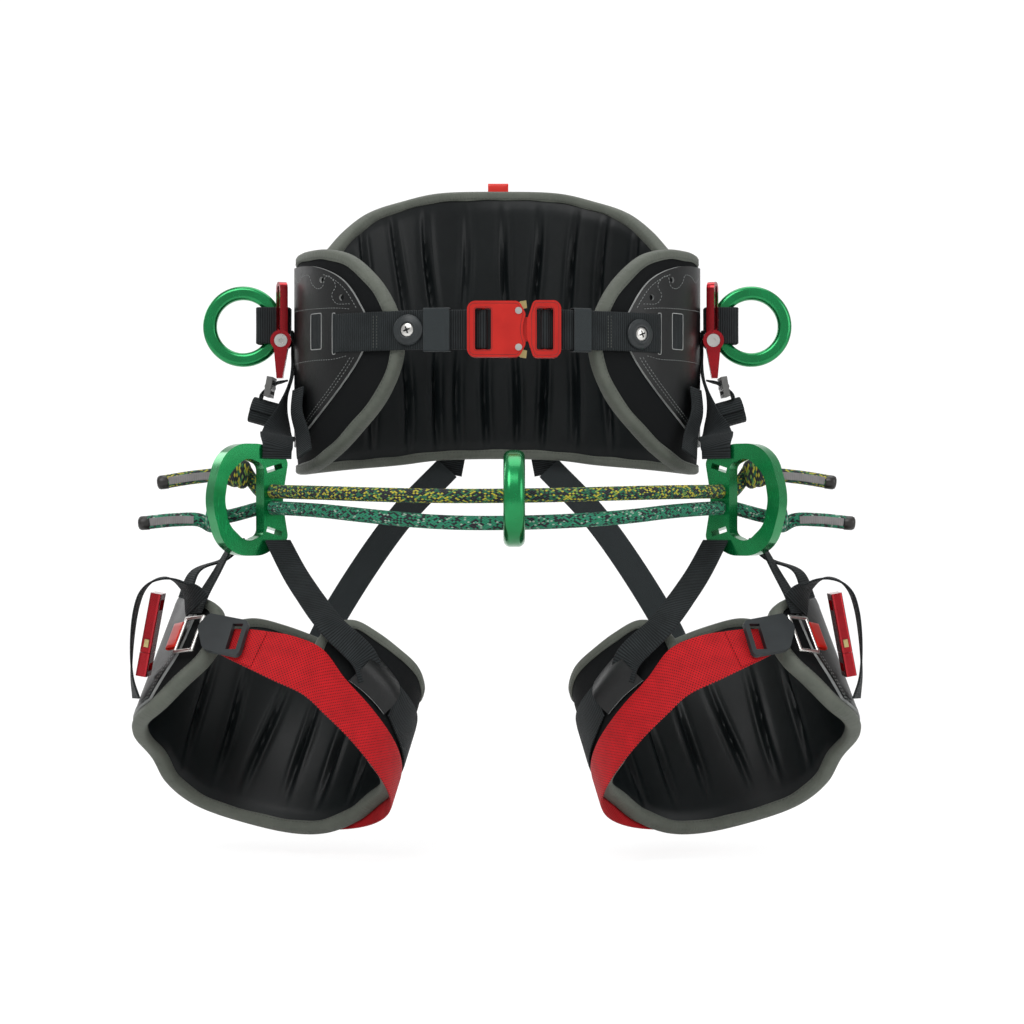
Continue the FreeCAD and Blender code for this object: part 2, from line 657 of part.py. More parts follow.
def riser_adjuster():
    """Steel adjuster at the top of the rolled tail."""
    pin = cylinder(V(0, 0, 0), V(0, 1, 0), 4.0, 34)
    frame = box((-3, -21, -10), (3, 21, 10)).cut(box((-5, -17.5, -7), (5, 17.5, 7)))
    adjuster = pin.fuse(frame)
    adjuster.rotate(V(0, 0, 0), V(0, 1, 0), -10)
    adjuster.translate(V(227.5, -40, -50))
    return adjuster


def lumbar_webbing():
    """Load webbing round the outside of the back."""
    shell = elliptic_shell(WAIST_X, WAIST_Y, 0.0, WEB_THICK, -22, 22)
    return shell.common(box((-220, LEATHER_BACK + 1, -30), (220, 220, 30)))


def top_tab():
    """Small red pull tab at the top of the back."""
    tab = box((-11, -1.6, -14), (11, 1.6, 9))
    edges = [e for e in tab.Edges if abs(e.Vertexes[0].Point.y - e.Vertexes[1].Point.y) > 2
             and e.Vertexes[0].Point.z > 0]
    tab = tab.makeFillet(4.0, edges)
    tab.translate(V(0, WAIST_Y + BINDING_PROUD + 1.7, 171))
    return tab


def strap_stub():
    """Webbing stub under the back pad, where a leg loop's rear strap begins."""
    return strap([
        ((48, 142.2, -98), (1, -0.1, 0)), ((50, 141.8, -112), (1, -0.1, 0)), ((54, 140.0, -134), (1, -0.1, 0.2)),
    ], 30.0, WEB_THICK)


# ---- bridge: two ropes between the D's, and the ring that runs on them ---------------------
UPPER_HEIGHTS = (ROPE_UPPER_Z, -156.4, -158.6, -160.4, -159.6, -157.4, -155.8, ROPE_UPPER_Z)
LOWER_HEIGHTS = (ROPE_LOWER_Z, -172.6, -178.8, -185.6, -184.8, -180.2, -173.0, ROPE_LOWER_Z)
BRIDGE_PLAN = [(-175.6, -150.2), (-120.0, -196.0), (-46.0, -215.0),
               (46.0, -215.0), (120.0, -196.0), (175.6, -150.2)]


def bridge_route(heights):
    """The rope's route from the -X side's D to the other, leaving each hole square to its D."""
    start = d_point(HOLE_OUT, -D_THICK / 2 - SEAT_GAP, 0)
    plan = [(-start.x, start.y)] + BRIDGE_PLAN + [(start.x, start.y)]
    return [V(x, y, z) for (x, y), z in zip(plan, heights)]


def stopper(z, knot_centre, knot_radius, tail_end):
    """One end of a rope: its run through the D, the knot behind it and the free tail."""
    radius = ROPE_DIA / 2
    front = d_point(HOLE_OUT, -D_THICK / 2, z)
    behind = d_point(HOLE_OUT, 17.0, z)
    shank = Part.makeCylinder(radius, (behind - front).Length, front, D_BACK)
    link = rounded_bar(behind, knot_centre, radius)
    knot = Part.makeSphere(knot_radius, knot_centre)
    tail = Part.makeCylinder(radius, (tail_end - knot_centre).Length, knot_centre, tail_end - knot_centre)
    return shank.fuse([link, knot, tail]).removeSplitter()


def end_cap(knot_centre, tail_end):
    """Dipped end of a rope's tail."""
    along = (tail_end - knot_centre).normalize()
    return Part.makeCylinder(ROPE_DIA / 2 + 0.2, 9.0, tail_end + along * 0.1, along)


UPPER_KNOT = V(253.5, -77.0, -137.0)
LOWER_KNOT = V(275.5, -84.0, -182.0)
UPPER_TAIL = V(331.0, -84.0, -146.0)
LOWER_TAIL = V(349.0, -88.0, -186.0)
KNOT_RADIUS = 15.5


def bridge_ring():
    return ring(BRIDGE_RING_CENTRE, V(1, 0, 0), BRIDGE_RING_OUTER, BRIDGE_RING_INNER,
                BRIDGE_RING_WIDTH, 6.5)


# ---- leg loops, built for the +X side in the thigh's own frame ------------------------------
# In that frame +X is outboard, -Y is the front of the thigh and +Z runs up the thigh.
LEG_UP = V(LEG_AXIS).normalize()
LEG_BACK = V(0, LEG_UP.z, -LEG_UP.y).normalize()
LEG_OUT = LEG_BACK.cross(LEG_UP)

LEG_INNER_EDGE = [(-130, 76), (-122, 80), (-106, 81), (-86, 84), (-60, 85), (-42, 72), (-33, 42),
                  (-44, 1), (-64, -7), (-86, -17), (-106, -27), (-118, -36), (-130, -38)]
LEG_OUTER_EDGE = [(130, 105), (118, 101), (97, 84), (72, 68), (60, 40), (66, 10), (80, -9),
                  (107, -40), (130, -47)]
LEG_BACK_TOP = [(-130, 76), (-117, 80), (-98, 98), (-60, 122), (4, 142), (48, 145), (79, 139),
                (102, 119), (117, 106), (130, 105)]
LEG_BACK_BOTTOM = [(130, -47), (117, -49), (100, -63), (73, -71), (22, -72), (-60, -69),
                   (-98, -54), (-117, -40), (-130, -38)]


def leg_cuff():
    return Cuff(LEG_X, LEG_Y, PAD_THICK, [(-1, LEG_INNER_EDGE), (1, LEG_OUTER_EDGE)],
                LEG_BACK_TOP, LEG_BACK_BOTTOM, 170)


def leg_placed(shape):
    return placed(shape, LEG_CENTRE, LEG_OUT, LEG_BACK, LEG_UP)


def leg_point(x, offset, z, front=True):
    """World position of a point on the loop's outer face, at an offset."""
    y = (LEG_Y + offset) * math.sqrt(1 - (x / (LEG_X + offset)) ** 2)
    return LEG_CENTRE + LEG_OUT * x + LEG_BACK * (-y if front else y) + LEG_UP * z


def leg_turn(x):
    """Degrees that the outer face has turned about the thigh's axis at a place on the front."""
    y = LEG_Y * math.sqrt(1 - (x / LEG_X) ** 2)
    return math.degrees(math.atan2(LEG_Y ** 2 * x, LEG_X ** 2 * y))


def leg_leather():
    """Leather on the outboard side, over the pad."""
    cuff = leg_cuff()
    band = cuff.cut_band(cuff.shell(0, LEATHER_THICK), BINDING_WIDTH + 1)
    front = outline_prism([[(88, 90), (92, 59), (95, 19), (104, -11), (113, -49)],
                           [(113, -49), (160, -70)], [(160, -70), (160, 150)], [(160, 150), (88, 90)]], -150, 0)
    back = box((25, 0, -80), (160, 150, 160))
    return leg_placed(band.common(front.fuse(back)))


def leg_band(inside, outside, front, back):
    """Webbing wound on the loop: regions of the shell seen from the front and from the back."""
    shell = elliptic_shell(LEG_X, LEG_Y, inside, outside, -150, 150)
    pieces = []
    for (upper, lower), depth in ((front, -150), (back, 150)):
        region = outline_prism([upper, list(reversed(lower))], min(depth, 0), max(depth, 0))
        pieces.append(shell.common(region))
    return pieces[0].fuse(pieces[1]).removeSplitter()


STRAP_IN = 1.7             # webbing lies this far off the pad's outer face


def leg_strap():
    """Red strap across the front of the thigh, round to the back, with its fold in the hook."""
    band = leg_band(
        STRAP_IN, STRAP_IN + WEB_THICK,
        ([(29, 43), (-13, 46), (-41, 42), (-68, 22), (-93, 9), (-115, -3), (-134, -17)],
         [(34, 6), (-6, -3), (-39, -9), (-62, -20), (-84, -30), (-106, -41), (-120, -50), (-134, -58)]),
        ([(-134, -17), (-110, -27), (-60, -34), (0, -37)],
         [(-134, -58), (-110, -64), (-60, -71), (0, -74)]),
    )
    return leg_placed(band)


def leg_wrap():
    """Black webbing that leaves the leather sleeve and goes round the inside of the thigh."""
    band = leg_band(
        STRAP_IN, STRAP_IN + WEB_THICK,
        ([(-111, 45), (-122, 42), (-134, 38)], [(-111, 11), (-122, 0), (-134, -10)]),
        ([(-134, 38), (-110, 24), (-60, 8), (0, 0)], [(-134, -10), (-110, -20), (-60, -28), (0, -32)]),
    )
    return leg_placed(band)


def leg_sleeve():
    """Leather sleeve on the inner tab that takes the riser's end."""
    shell = elliptic_shell(LEG_X, LEG_Y, STRAP_IN, STRAP_IN + 3.0, -150, 150)
    region = polygon_prism([(-84, 57), (-109, 46), (-107, 12), (-74, 24)], -150, 0)
    return leg_placed(shell.common(region))


HOOK_X = 56.0
HOOK_Z = 29.0
HOOK_OFFSET = 7.6
HOOK_THICK = 5.0
WIRE_RADIUS = 1.8
WIRE_X = 89.0
WIRE_OFFSET = 7.6
WIRE_SIZE = (23.0, 37.0)
WIRE_Z = 33.0


def on_leg(shape, x, offset, z, turn=None):
    """Seat a piece built about the origin, facing -Y, on the loop's outer face."""
    shape = shape.copy()
    shape.rotate(V(0, 0, 0), V(0, 0, 1), leg_turn(x) if turn is None else turn)
    y = -(LEG_Y + offset) * math.sqrt(1 - (x / (LEG_X + offset)) ** 2)
    shape.translate(V(x, y, z))
    return leg_placed(shape)


def wire_frame(radius):
    """Rounded rectangle of wire, in the XZ plane."""
    half_x = WIRE_SIZE[0] / 2
    half_z = WIRE_SIZE[1] / 2
    corners = [V(-half_x, 0, -half_z), V(half_x, 0, -half_z), V(half_x, 0, half_z), V(-half_x, 0, half_z)]
    rods = [rounded_bar(a, b, radius) for a, b in zip(corners, corners[1:] + corners[:1])]
    return rods[0].fuse(rods[1:]).removeSplitter()


def leg_wire_ring():
    return on_leg(wire_frame(WIRE_RADIUS), WIRE_X, WIRE_OFFSET, WIRE_Z)


def wire_clearance():
    return on_leg(wire_frame(WIRE_RADIUS + 0.35), WIRE_X, WIRE_OFFSET, WIRE_Z)


def leg_hook():
    """Plastic hook plate: a slot for the strap and an open hook over the wire ring."""
    plate = rounded_outline([(-29, -20, 5), (-27, 19, 6), (19, 25, 6), (27, 10, 9), (12, -15, 12)],
                            -HOOK_THICK / 2, HOOK_THICK / 2)
    slot = box((-23, -10, -14), (-12, 10, 14))
    slot.rotate(V(0, 0, 0), V(0, 1, 0), 3)
    body = on_leg(plate.cut(slot), HOOK_X, HOOK_OFFSET, HOOK_Z)
    return body.cut(wire_clearance())


def leg_ribbon():
    """Red ribbon that ties the wire ring to the leather."""
    block = box((-8, -4.4, -14), (8, 0.4, 14))
    edges = [e for e in block.Edges if abs(e.Vertexes[0].Point.z - e.Vertexes[1].Point.z) > 20]
    block = block.makeFillet(2.2, edges)
    return on_leg(block, 104, 7.6, 33, 41).cut(wire_clearance())


def leg_riser_inner():
    """Webbing from the D's lower slot, turning on its way to the leather sleeve."""
    return strap([
        (tuple(d_point(-28.5, -9.5, -203)), D_OUT), ((197, -119, -232), (0.76, -0.64, -0.1)),
        ((178, -147, -257), (0.74, -0.64, -0.2)), ((156, -169.5, -283), (0.70, -0.62, -0.34)),
        (tuple(leg_point(-82, 9.5, 46)), (0.6, -0.58, -0.53)),
        (tuple(leg_point(-92, 6.2, 32)), (0.6, -0.58, -0.53)),
    ], 30.0, WEB_THICK)


def leg_riser_outer():
    """Two narrow webbings from behind the D to the top of the leg loop's outboard side."""
    first = strap([
        ((258, -97, -204), (0.3, 0.95, 0)), ((272, -108, -232), (0.45, 0.88, 0)),
        ((284.2, -122.4, -256), (0.6, 0.8, 0)), (tuple(leg_point(93, 5.2, 58)), (0.79, 0.59, -0.12)),
    ], 20.0, WEB_THICK)
    second = strap([
        ((249, -88, -204), (0.3, 0.95, 0)), ((267, -83, -221), (0.35, 0.92, 0)),
        (tuple(leg_point(109, 9.5, 107)), (0.6, 0.78, -0.1)),
        (tuple(leg_point(113, 5.4, 80)), (0.72, 0.66, -0.2)),
    ], 20.0, WEB_THICK)
    return first, second


def rear_strap():
    """Flat strap from the belt's back to the back of the leg loop."""
    return strap([
        ((55, 136.9, -128), (0.8, 0, 0.6)), ((100, 112, -176), (0.77, 0, 0.64)),
        ((140, 86, -232), (0.80, 0, 0.6)), ((180, 60, -300), (0.9, 0, 0.44)),
        (tuple(leg_point(6, 3.0, 118, False)), (0.95, 0.1, 0.25)),
    ], 28.0, WEB_THICK)


def leg_curl():
    """Webbing that leaves the leather, curls over and comes down past the quick buckle."""
    return strap([
        (tuple(leg_point(90, 11.9, 62)), (0.79, 0.59, -0.12)), ((298, -134.6, -249), (0.5, 0.85, 0)),
        ((307, -137, -241.5), (0.35, 0.93, 0)), ((318, -139, -238.5), (0.2, 0.97, 0)),
        ((331, -140, -242), (0.1, 1, 0)), ((340, -140, -251), (0.05, 1, 0)),
        ((346, -140, -268), (0.05, 1, 0)), ((350, -140, -300), (0.1, 1, 0)),
        ((350, -140, -333), (0.2, 0.98, 0)), ((346, -140, -354), (0.33, 0.94, 0)),
    ], 38.0, WEB_THICK)


QUICK_TOP = V(323.0, -151.0, -252.0)
QUICK_BOTTOM = V(337.5, -151.0, -331.0)
QUICK_SIZE = (10.5, 34.0)


def quick_placed(shape):
    """From the quick buckle's frame: +Z runs from its bottom to its top, X is its thickness."""
    up = (QUICK_TOP - QUICK_BOTTOM).normalize()
    back = V(0, 1, 0)
    return placed(shape, QUICK_BOTTOM, back.cross(up), back, up)


def quick_block(z_low, z_high, thickness, width):
    block = box((-thickness / 2, -width / 2, z_low), (thickness / 2, width / 2, z_high))
    edges = [e for e in block.Edges if abs(e.Vertexes[0].Point.z - e.Vertexes[1].Point.z) > 5]
    return block.makeFillet(2.5, edges)


def leg_buckle_frame():
    """Upper half of the quick buckle: a webbing slot, the tongue's hollow and the latch's channel."""
    thickness, width = QUICK_SIZE
    body = quick_block(23, 80, thickness, width)
    slot = box((-20, -12, 64), (20, 12, 74))
    hollow = box((-2.4, -11.5, 20), (2.4, 11.5, 52))
    channel = box((-2.4, -30, 28), (2.4, -11, 36))
    return quick_placed(body.cut([slot, hollow, channel]))


def leg_buckle_tongue():
    """Lower half of the quick buckle, with its blade and a webbing slot."""
    thickness, width = QUICK_SIZE
    body = quick_block(0, 22.6, thickness, width)
    slot = box((-20, -12, 5), (20, 12, 13))
    blade = box((-2.1, -8.5, 20), (2.1, 8.5, 46))
    return quick_placed(body.cut(slot).fuse(blade).removeSplitter())


def leg_buckle_latch():
    """Brass release bar that stands out of the upper half's front edge."""
    return quick_placed(box((-2.1, -18.8, 28.3), (2.1, -10.6, 35.7)))


# ---- write every node -----------------------------------------------------------------------
def write_belt():
    belt = waist_cuff()
    export("back_pad", belt.pad())
    export("back_binding", belt.binding())
    leather = wing_leather()
    export("wing_leather_left", mirrored(leather))
    export("wing_leather_right", leather.cut(shank_clearance(*SCREW_PLACES[1])))
    export("front_strap_left", front_strap(-1, FRAME_BAR_X).cut(shank_clearance(*SCREW_PLACES[0])))
    export("front_strap_right", front_strap(1, TONGUE_BAR_X).cut(shank_clearance(*SCREW_PLACES[1])))
    export("strap_keepers", keeper(-1, 57, -140.2, 9.0, 13, 4.2),
           keeper(1, 81, -134.6, 21.0, 9, 5.2))
    export("cup_washers", *[cup_washer(x, z) for x, z in SCREW_PLACES])
    export("strap_screws", *[strap_screw(x, z) for x, z in SCREW_PLACES])
    export("top_tab", top_tab())
    export("lumbar_webbing", lumbar_webbing())
    export("strap_stubs", mirrored(strap_stub()), strap_stub())


def write_front_buckle():
    export("buckle_frame", buckle_frame())
    export("buckle_rivets", buckle_rivet(-1), buckle_rivet(1))
    export("buckle_tongue", buckle_tongue())
    export("buckle_latch_upper", buckle_latch(1))
    export("buckle_latch_lower", buckle_latch(-1))


def write_sides():
    for name, shape in (("side_ring", side_ring()), ("side_bracket", side_bracket()),
                        ("bridge_d", bridge_d())):
        export(name + "_left", mirrored(shape))
        export(name + "_right", shape)
    for name, shape in (("ring_loops", ring_loop()), ("bracket_screws", bracket_screw()),
                        ("riser_tails", riser_tail()), ("riser_adjusters", riser_adjuster())):
        export(name, mirrored(shape), shape)
    risers = [belt_riser(), wing_riser()]
    export("belt_risers", *[mirrored(riser) for riser in risers], *risers)


def write_bridge():
    export("bridge_rope_upper", rope_tube("bridge_rope_upper", bridge_route(UPPER_HEIGHTS), ROPE_DIA))
    export("bridge_rope_lower", rope_tube("bridge_rope_lower", bridge_route(LOWER_HEIGHTS), ROPE_DIA))
    upper = stopper(ROPE_UPPER_Z, UPPER_KNOT, KNOT_RADIUS, UPPER_TAIL)
    lower = stopper(ROPE_LOWER_Z, LOWER_KNOT, KNOT_RADIUS, LOWER_TAIL)
    export("rope_knots_upper", mirrored(upper), upper)
    export("rope_knots_lower", mirrored(lower), lower)
    caps = [end_cap(UPPER_KNOT, UPPER_TAIL), end_cap(LOWER_KNOT, LOWER_TAIL)]
    export("rope_ends", *[mirrored(cap) for cap in caps], *caps)
    export("bridge_ring", bridge_ring())


def write_legs():
    cuff = leg_cuff()
    pieces = {
        "leg_pad": [leg_placed(cuff.pad())],
        "leg_binding": [leg_placed(cuff.binding())],
        "leg_leather": [leg_leather(), leg_sleeve()],
        "leg_strap": [leg_strap()],
        "leg_webbing": [leg_wrap(), leg_curl()],
        "leg_hook": [leg_hook()],
        "leg_wire_ring": [leg_wire_ring()],
        "leg_ribbon": [leg_ribbon()],
        "leg_risers": [leg_riser_inner(), *leg_riser_outer()],
        "rear_strap": [rear_strap()],
        "leg_buckle_frame": [leg_buckle_frame()],
        "leg_buckle_latch": [leg_buckle_latch()],
        "leg_buckle_tongue": [leg_buckle_tongue()],
    }
    for name, solids in pieces.items():
        export(name + "_left", *[mirrored(solid) for solid in solids])
        export(name + "_right", *solids)


os.makedirs("parts", exist_ok=True)
write_belt()
write_front_buckle()
write_sides()
write_bridge()
write_legs()
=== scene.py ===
import logging
import math
from dataclasses import dataclass, replace
from enum import Enum
from typing import Callable, Sequence

import bmesh
import bpy
import numpy as np
from mathutils import Matrix, Vector


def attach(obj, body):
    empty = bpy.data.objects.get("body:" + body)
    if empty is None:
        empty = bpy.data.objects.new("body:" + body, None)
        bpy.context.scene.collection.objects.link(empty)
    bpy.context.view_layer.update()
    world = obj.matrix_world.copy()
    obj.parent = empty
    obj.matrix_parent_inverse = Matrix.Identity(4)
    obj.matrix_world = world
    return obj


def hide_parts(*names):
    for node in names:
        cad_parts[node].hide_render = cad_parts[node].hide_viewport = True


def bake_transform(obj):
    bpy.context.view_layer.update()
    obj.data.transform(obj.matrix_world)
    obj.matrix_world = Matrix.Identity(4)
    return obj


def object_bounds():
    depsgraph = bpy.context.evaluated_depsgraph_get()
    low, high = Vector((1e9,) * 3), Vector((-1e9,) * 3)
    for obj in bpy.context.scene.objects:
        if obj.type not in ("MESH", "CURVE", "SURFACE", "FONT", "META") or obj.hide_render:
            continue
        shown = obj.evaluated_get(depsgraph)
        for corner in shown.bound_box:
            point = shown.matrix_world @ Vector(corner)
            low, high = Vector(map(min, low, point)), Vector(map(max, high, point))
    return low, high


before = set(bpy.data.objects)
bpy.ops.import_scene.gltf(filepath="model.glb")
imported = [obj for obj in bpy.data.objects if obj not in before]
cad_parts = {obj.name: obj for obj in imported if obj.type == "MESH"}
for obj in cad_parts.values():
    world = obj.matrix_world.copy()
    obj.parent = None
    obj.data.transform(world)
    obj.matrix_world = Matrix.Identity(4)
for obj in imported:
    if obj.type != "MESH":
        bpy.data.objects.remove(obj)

CAD_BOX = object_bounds()
LOG = logging.getLogger("saddle")
MM = 0.001
TAU = 2 * math.pi

# Tree climbing saddle. Sizes are in millimetres and become metres when a mesh is made.
# +X is on the right seen from the front, -Y is the front and +Z is up. Side pieces are mirrored from +X.


class Slot(Enum):
    """The finishes that the saddle's pieces take."""

    LINING = "lining"
    BINDING = "binding"
    LEATHER = "leather"
    WEBBING = "webbing"
    ELASTIC = "elastic"
    BUCKLE_RED = "buckle_red"
    BRACKET_RED = "bracket_red"
    BRASS = "brass"
    STEEL = "steel"
    GREEN = "green"
    PLASTIC = "black_plastic"
    RED_WEB = "red_web"
    RED_RIBBON = "red_ribbon"
    ROPE_YELLOW = "rope_yellow"
    ROPE_GREEN = "rope_green"
    ROPE_END = "rope_end"


class Side(Enum):
    """The two sides, as seen from the front."""

    LEFT = "left"
    RIGHT = "right"


# ---- shader maths ---------------------------------------------------------------------------
class Value:
    """A number on a surface, with arithmetic that adds Math nodes."""

    def __init__(self, shader: "Shader", socket: bpy.types.NodeSocket) -> None:
        """Wrap a socket of a shader."""
        self.shader = shader
        self.socket = socket

    def math(self, operation: str, *others: "Value | float", first: bool = True) -> "Value":
        """Add one Math node.

        Args:
            operation: the node's operation.
            others: the other inputs.
            first: whether this value is the first input, or the last.

        Returns:
            The node's result.
        """
        inputs = [self, *others] if first else [*others, self]
        return self.shader.node("ShaderNodeMath", {"operation": operation}, dict(enumerate(inputs)))

    def __add__(self, other: "Value | float") -> "Value":
        """The sum."""
        return self.math("ADD", other)

    __radd__ = __add__

    def __sub__(self, other: "Value | float") -> "Value":
        """The difference."""
        return self.math("SUBTRACT", other)

    def __rsub__(self, other: "Value | float") -> "Value":
        """The difference, from the other side."""
        return self.math("SUBTRACT", other, first=False)

    def __mul__(self, other: "Value | float") -> "Value":
        """The product."""
        return self.math("MULTIPLY", other)

    __rmul__ = __mul__

    def __truediv__(self, other: "Value | float") -> "Value":
        """The quotient."""
        return self.math("DIVIDE", other)

    def __pow__(self, other: "Value | float") -> "Value":
        """This value to a power."""
        return self.math("POWER", other)

    def __lt__(self, other: "Value | float") -> "Value":
        """One where this value is the smaller, else zero."""
        return self.math("LESS_THAN", other)

    def __gt__(self, other: "Value | float") -> "Value":
        """One where this value is the larger, else zero."""
        return self.math("GREATER_THAN", other)

    def part(self) -> "Value":
        """The part after the decimal point."""
        return self.math("FRACT")

    def whole(self) -> "Value":
        """The whole number below."""
        return self.math("FLOOR")

    def size(self) -> "Value":
        """The value without its sign."""
        return self.math("ABSOLUTE")

    def hump(self) -> "Value":
        """A rounded hump over each unit: zero at whole numbers and one half way."""
        middle = self.part() * 2 - 1
        return 1 - middle * middle


Colour = tuple[float, float, float]


class Shader:
    """A material under construction: one Principled shader and what feeds it."""

    def __init__(self, name: str) -> None:
        """Start a material of this name."""
        self.material = bpy.data.materials.new(name)
        self.material.use_nodes = True
        self.tree = self.material.node_tree
        self.tree.nodes.clear()
        self.output = self.tree.nodes.new("ShaderNodeOutputMaterial")
        self.surface = self.tree.nodes.new("ShaderNodeBsdfPrincipled")
        self.tree.links.new(self.surface.outputs[0], self.output.inputs[0])

    def node(self, kind: str, settings: dict, inputs: dict, result: int | str = 0) -> Value:
        """Add any node.

        Args:
            kind: the node's type.
            settings: its own properties, set before its sockets.
            inputs: values or links for its input sockets, by place or name.
            result: the output to give back.

        Returns:
            That output.
        """
        node = self.tree.nodes.new(kind)
        for key, value in settings.items():
            setattr(node, key, value)
        for key, value in inputs.items():
            if isinstance(value, Value):
                self.tree.links.new(value.socket, node.inputs[key])
            elif isinstance(value, tuple) and len(value) == 3 and node.inputs[key].type == "RGBA":
                node.inputs[key].default_value = (*value, 1)
            else:
                node.inputs[key].default_value = value
        return Value(self, node.outputs[result])

    def set(self, **values: "Value | float | Colour") -> None:
        """Set the Principled shader's sockets, named with underscores."""
        for key, value in values.items():
            socket = self.surface.inputs[key.replace("_", " ")]
            if isinstance(value, Value):
                self.tree.links.new(value.socket, socket)
            elif isinstance(value, tuple):
                socket.default_value = (*value, 1)
            else:
                socket.default_value = value

    def lay(self) -> tuple[Value, Value, Value]:
        """The place on a strap, rope or band: across it, along it and its ply, in millimetres."""
        found = self.node("ShaderNodeAttribute", {"attribute_name": "lay"}, {}, "Vector")
        return self.split(found)

    def split(self, vector: Value) -> tuple[Value, Value, Value]:
        """A vector's three numbers."""
        node = self.tree.nodes.new("ShaderNodeSeparateXYZ")
        self.tree.links.new(vector.socket, node.inputs[0])
        return tuple(Value(self, node.outputs[index]) for index in range(3))

    def join(self, x: "Value | float", y: "Value | float", z: "Value | float" = 0.0) -> Value:
        """A vector from three numbers."""
        return self.node("ShaderNodeCombineXYZ", {}, {0: x, 1: y, 2: z})

    def place(self) -> Value:
        """The place in the piece's own space, in metres."""
        return self.node("ShaderNodeTexCoord", {}, {}, "Object")

    def noise(self, vector: Value, scale: float, detail: float = 3.0, rough: float = 0.55) -> Value:
        """Soft noise from zero to one.

        Args:
            vector: where it is read.
            scale: its waves per unit of the vector.
            detail: its octaves.
            rough: how strong the fine octaves are.

        Returns:
            The noise.
        """
        return self.node("ShaderNodeTexNoise", {}, {"Vector": vector, "Scale": scale, "Detail": detail,
                                                   "Roughness": rough})

    def mix(self, share: "Value | float", low: "Value | Colour", high: "Value | Colour") -> Value:
        """A colour between two others."""
        return self.node("ShaderNodeMix", {"data_type": "RGBA"}, {0: share, 6: low, 7: high}, 2)

    def span(self, value: Value, low: float, high: float, start: float = 0.0, end: float = 1.0) -> Value:
        """A value taken from one range to another, and kept in it."""
        return self.node("ShaderNodeMapRange", {}, {0: value, 1: low, 2: high, 3: start, 4: end})

    def pick(self, value: Value, stops: Sequence[tuple[float, Colour]]) -> Value:
        """A colour from a stepped ramp.

        Args:
            value: what chooses the colour, from zero to one.
            stops: the ramp's places and colours.

        Returns:
            The chosen colour.
        """
        node = self.tree.nodes.new("ShaderNodeValToRGB")
        ramp = node.color_ramp
        ramp.interpolation = "CONSTANT"
        for index, (place, colour) in enumerate(stops):
            stop = ramp.elements[index] if index < 2 else ramp.elements.new(place)
            stop.position = place
            stop.color = (*colour, 1)
        self.tree.links.new(value.socket, node.inputs[0])
        return Value(self, node.outputs[0])

    def bump(self, height: Value, depth: float, strength: float = 1.0, under: Value | None = None) -> Value:
        """A bumped normal.

        Args:
            height: the relief from zero to one.
            depth: how deep one is, in millimetres.
            strength: the node's strength.
            under: a normal that this one adds to.

        Returns:
            The normal.
        """
        inputs = {"Height": height, "Distance": depth * MM, "Strength": strength}
        if under is not None:
            inputs["Normal"] = under
        return self.node("ShaderNodeBump", {}, inputs)


# ---- finishes -------------------------------------------------------------------------------
@dataclass(frozen=True)
class Webbing:
    """Woven webbing with ribs across it, painted lighter on the ribs and darker between them: painted
    highlight and painted shade.
    """

    name: str
    light: Colour
    dark: Colour
    rib: float = 2.3
    thread: float = 1.15
    depth: float = 0.38

    def material(self) -> bpy.types.Material:
        """The finished material."""
        shader = Shader(self.name)
        across, along, _ = shader.lay()
        row = along / self.rib
        half = row.whole() * 0.5
        thread = (across / self.thread + half + row.part() * 0.35).hump()
        rib = row.hump()
        weave = rib * 0.75 + thread * rib * 0.45
        cloudy = shader.noise(shader.place(), 55, 2)
        # The colour follows the weave's relief: painted highlight on the ribs' tops and painted shade in the
        # hollows between them. The cloudy noise is random tone.
        share = shader.span(weave, 0.1, 1.0) * shader.span(cloudy, 0.3, 0.75, 0.6, 1.0)
        fuzz = shader.noise(shader.join(across, along), 2.4, 2)
        shader.set(
            Base_Color=shader.mix(share, self.dark, self.light),
            Roughness=shader.span(fuzz, 0.2, 0.8, 0.6, 0.85),
            Normal=shader.bump(weave + fuzz * 0.25, self.depth),
            Sheen_Weight=0.03,
            Sheen_Roughness=0.5,
            Specular_IOR_Level=0.16,
        )
        return shader.material


@dataclass(frozen=True)
class Herringbone:
    """Elastic with a fine herringbone, painted lighter on the twill's ridges and darker in its hollows:
    painted highlight and painted shade.
    """

    name: str
    light: Colour
    dark: Colour
    rib: float = 1.5
    column: float = 5.0

    def material(self) -> bpy.types.Material:
        """The finished material."""
        shader = Shader(self.name)
        across, along, _ = shader.lay()
        zigzag = ((across / self.column).part() - 0.5).size() * 2 * self.column
        twill = ((along + zigzag) / self.rib).hump()
        fuzz = shader.noise(shader.join(across, along), 2.0, 2)
        # The colour follows the twill's relief: painted highlight on its ridges and painted shade in its
        # hollows.
        shader.set(
            Base_Color=shader.mix(twill, self.dark, self.light),
            Roughness=shader.span(fuzz, 0.2, 0.8, 0.62, 0.85),
            Normal=shader.bump(twill + fuzz * 0.3, 0.25),
            Sheen_Weight=0.05,
            Specular_IOR_Level=0.18,
        )
        return shader.material


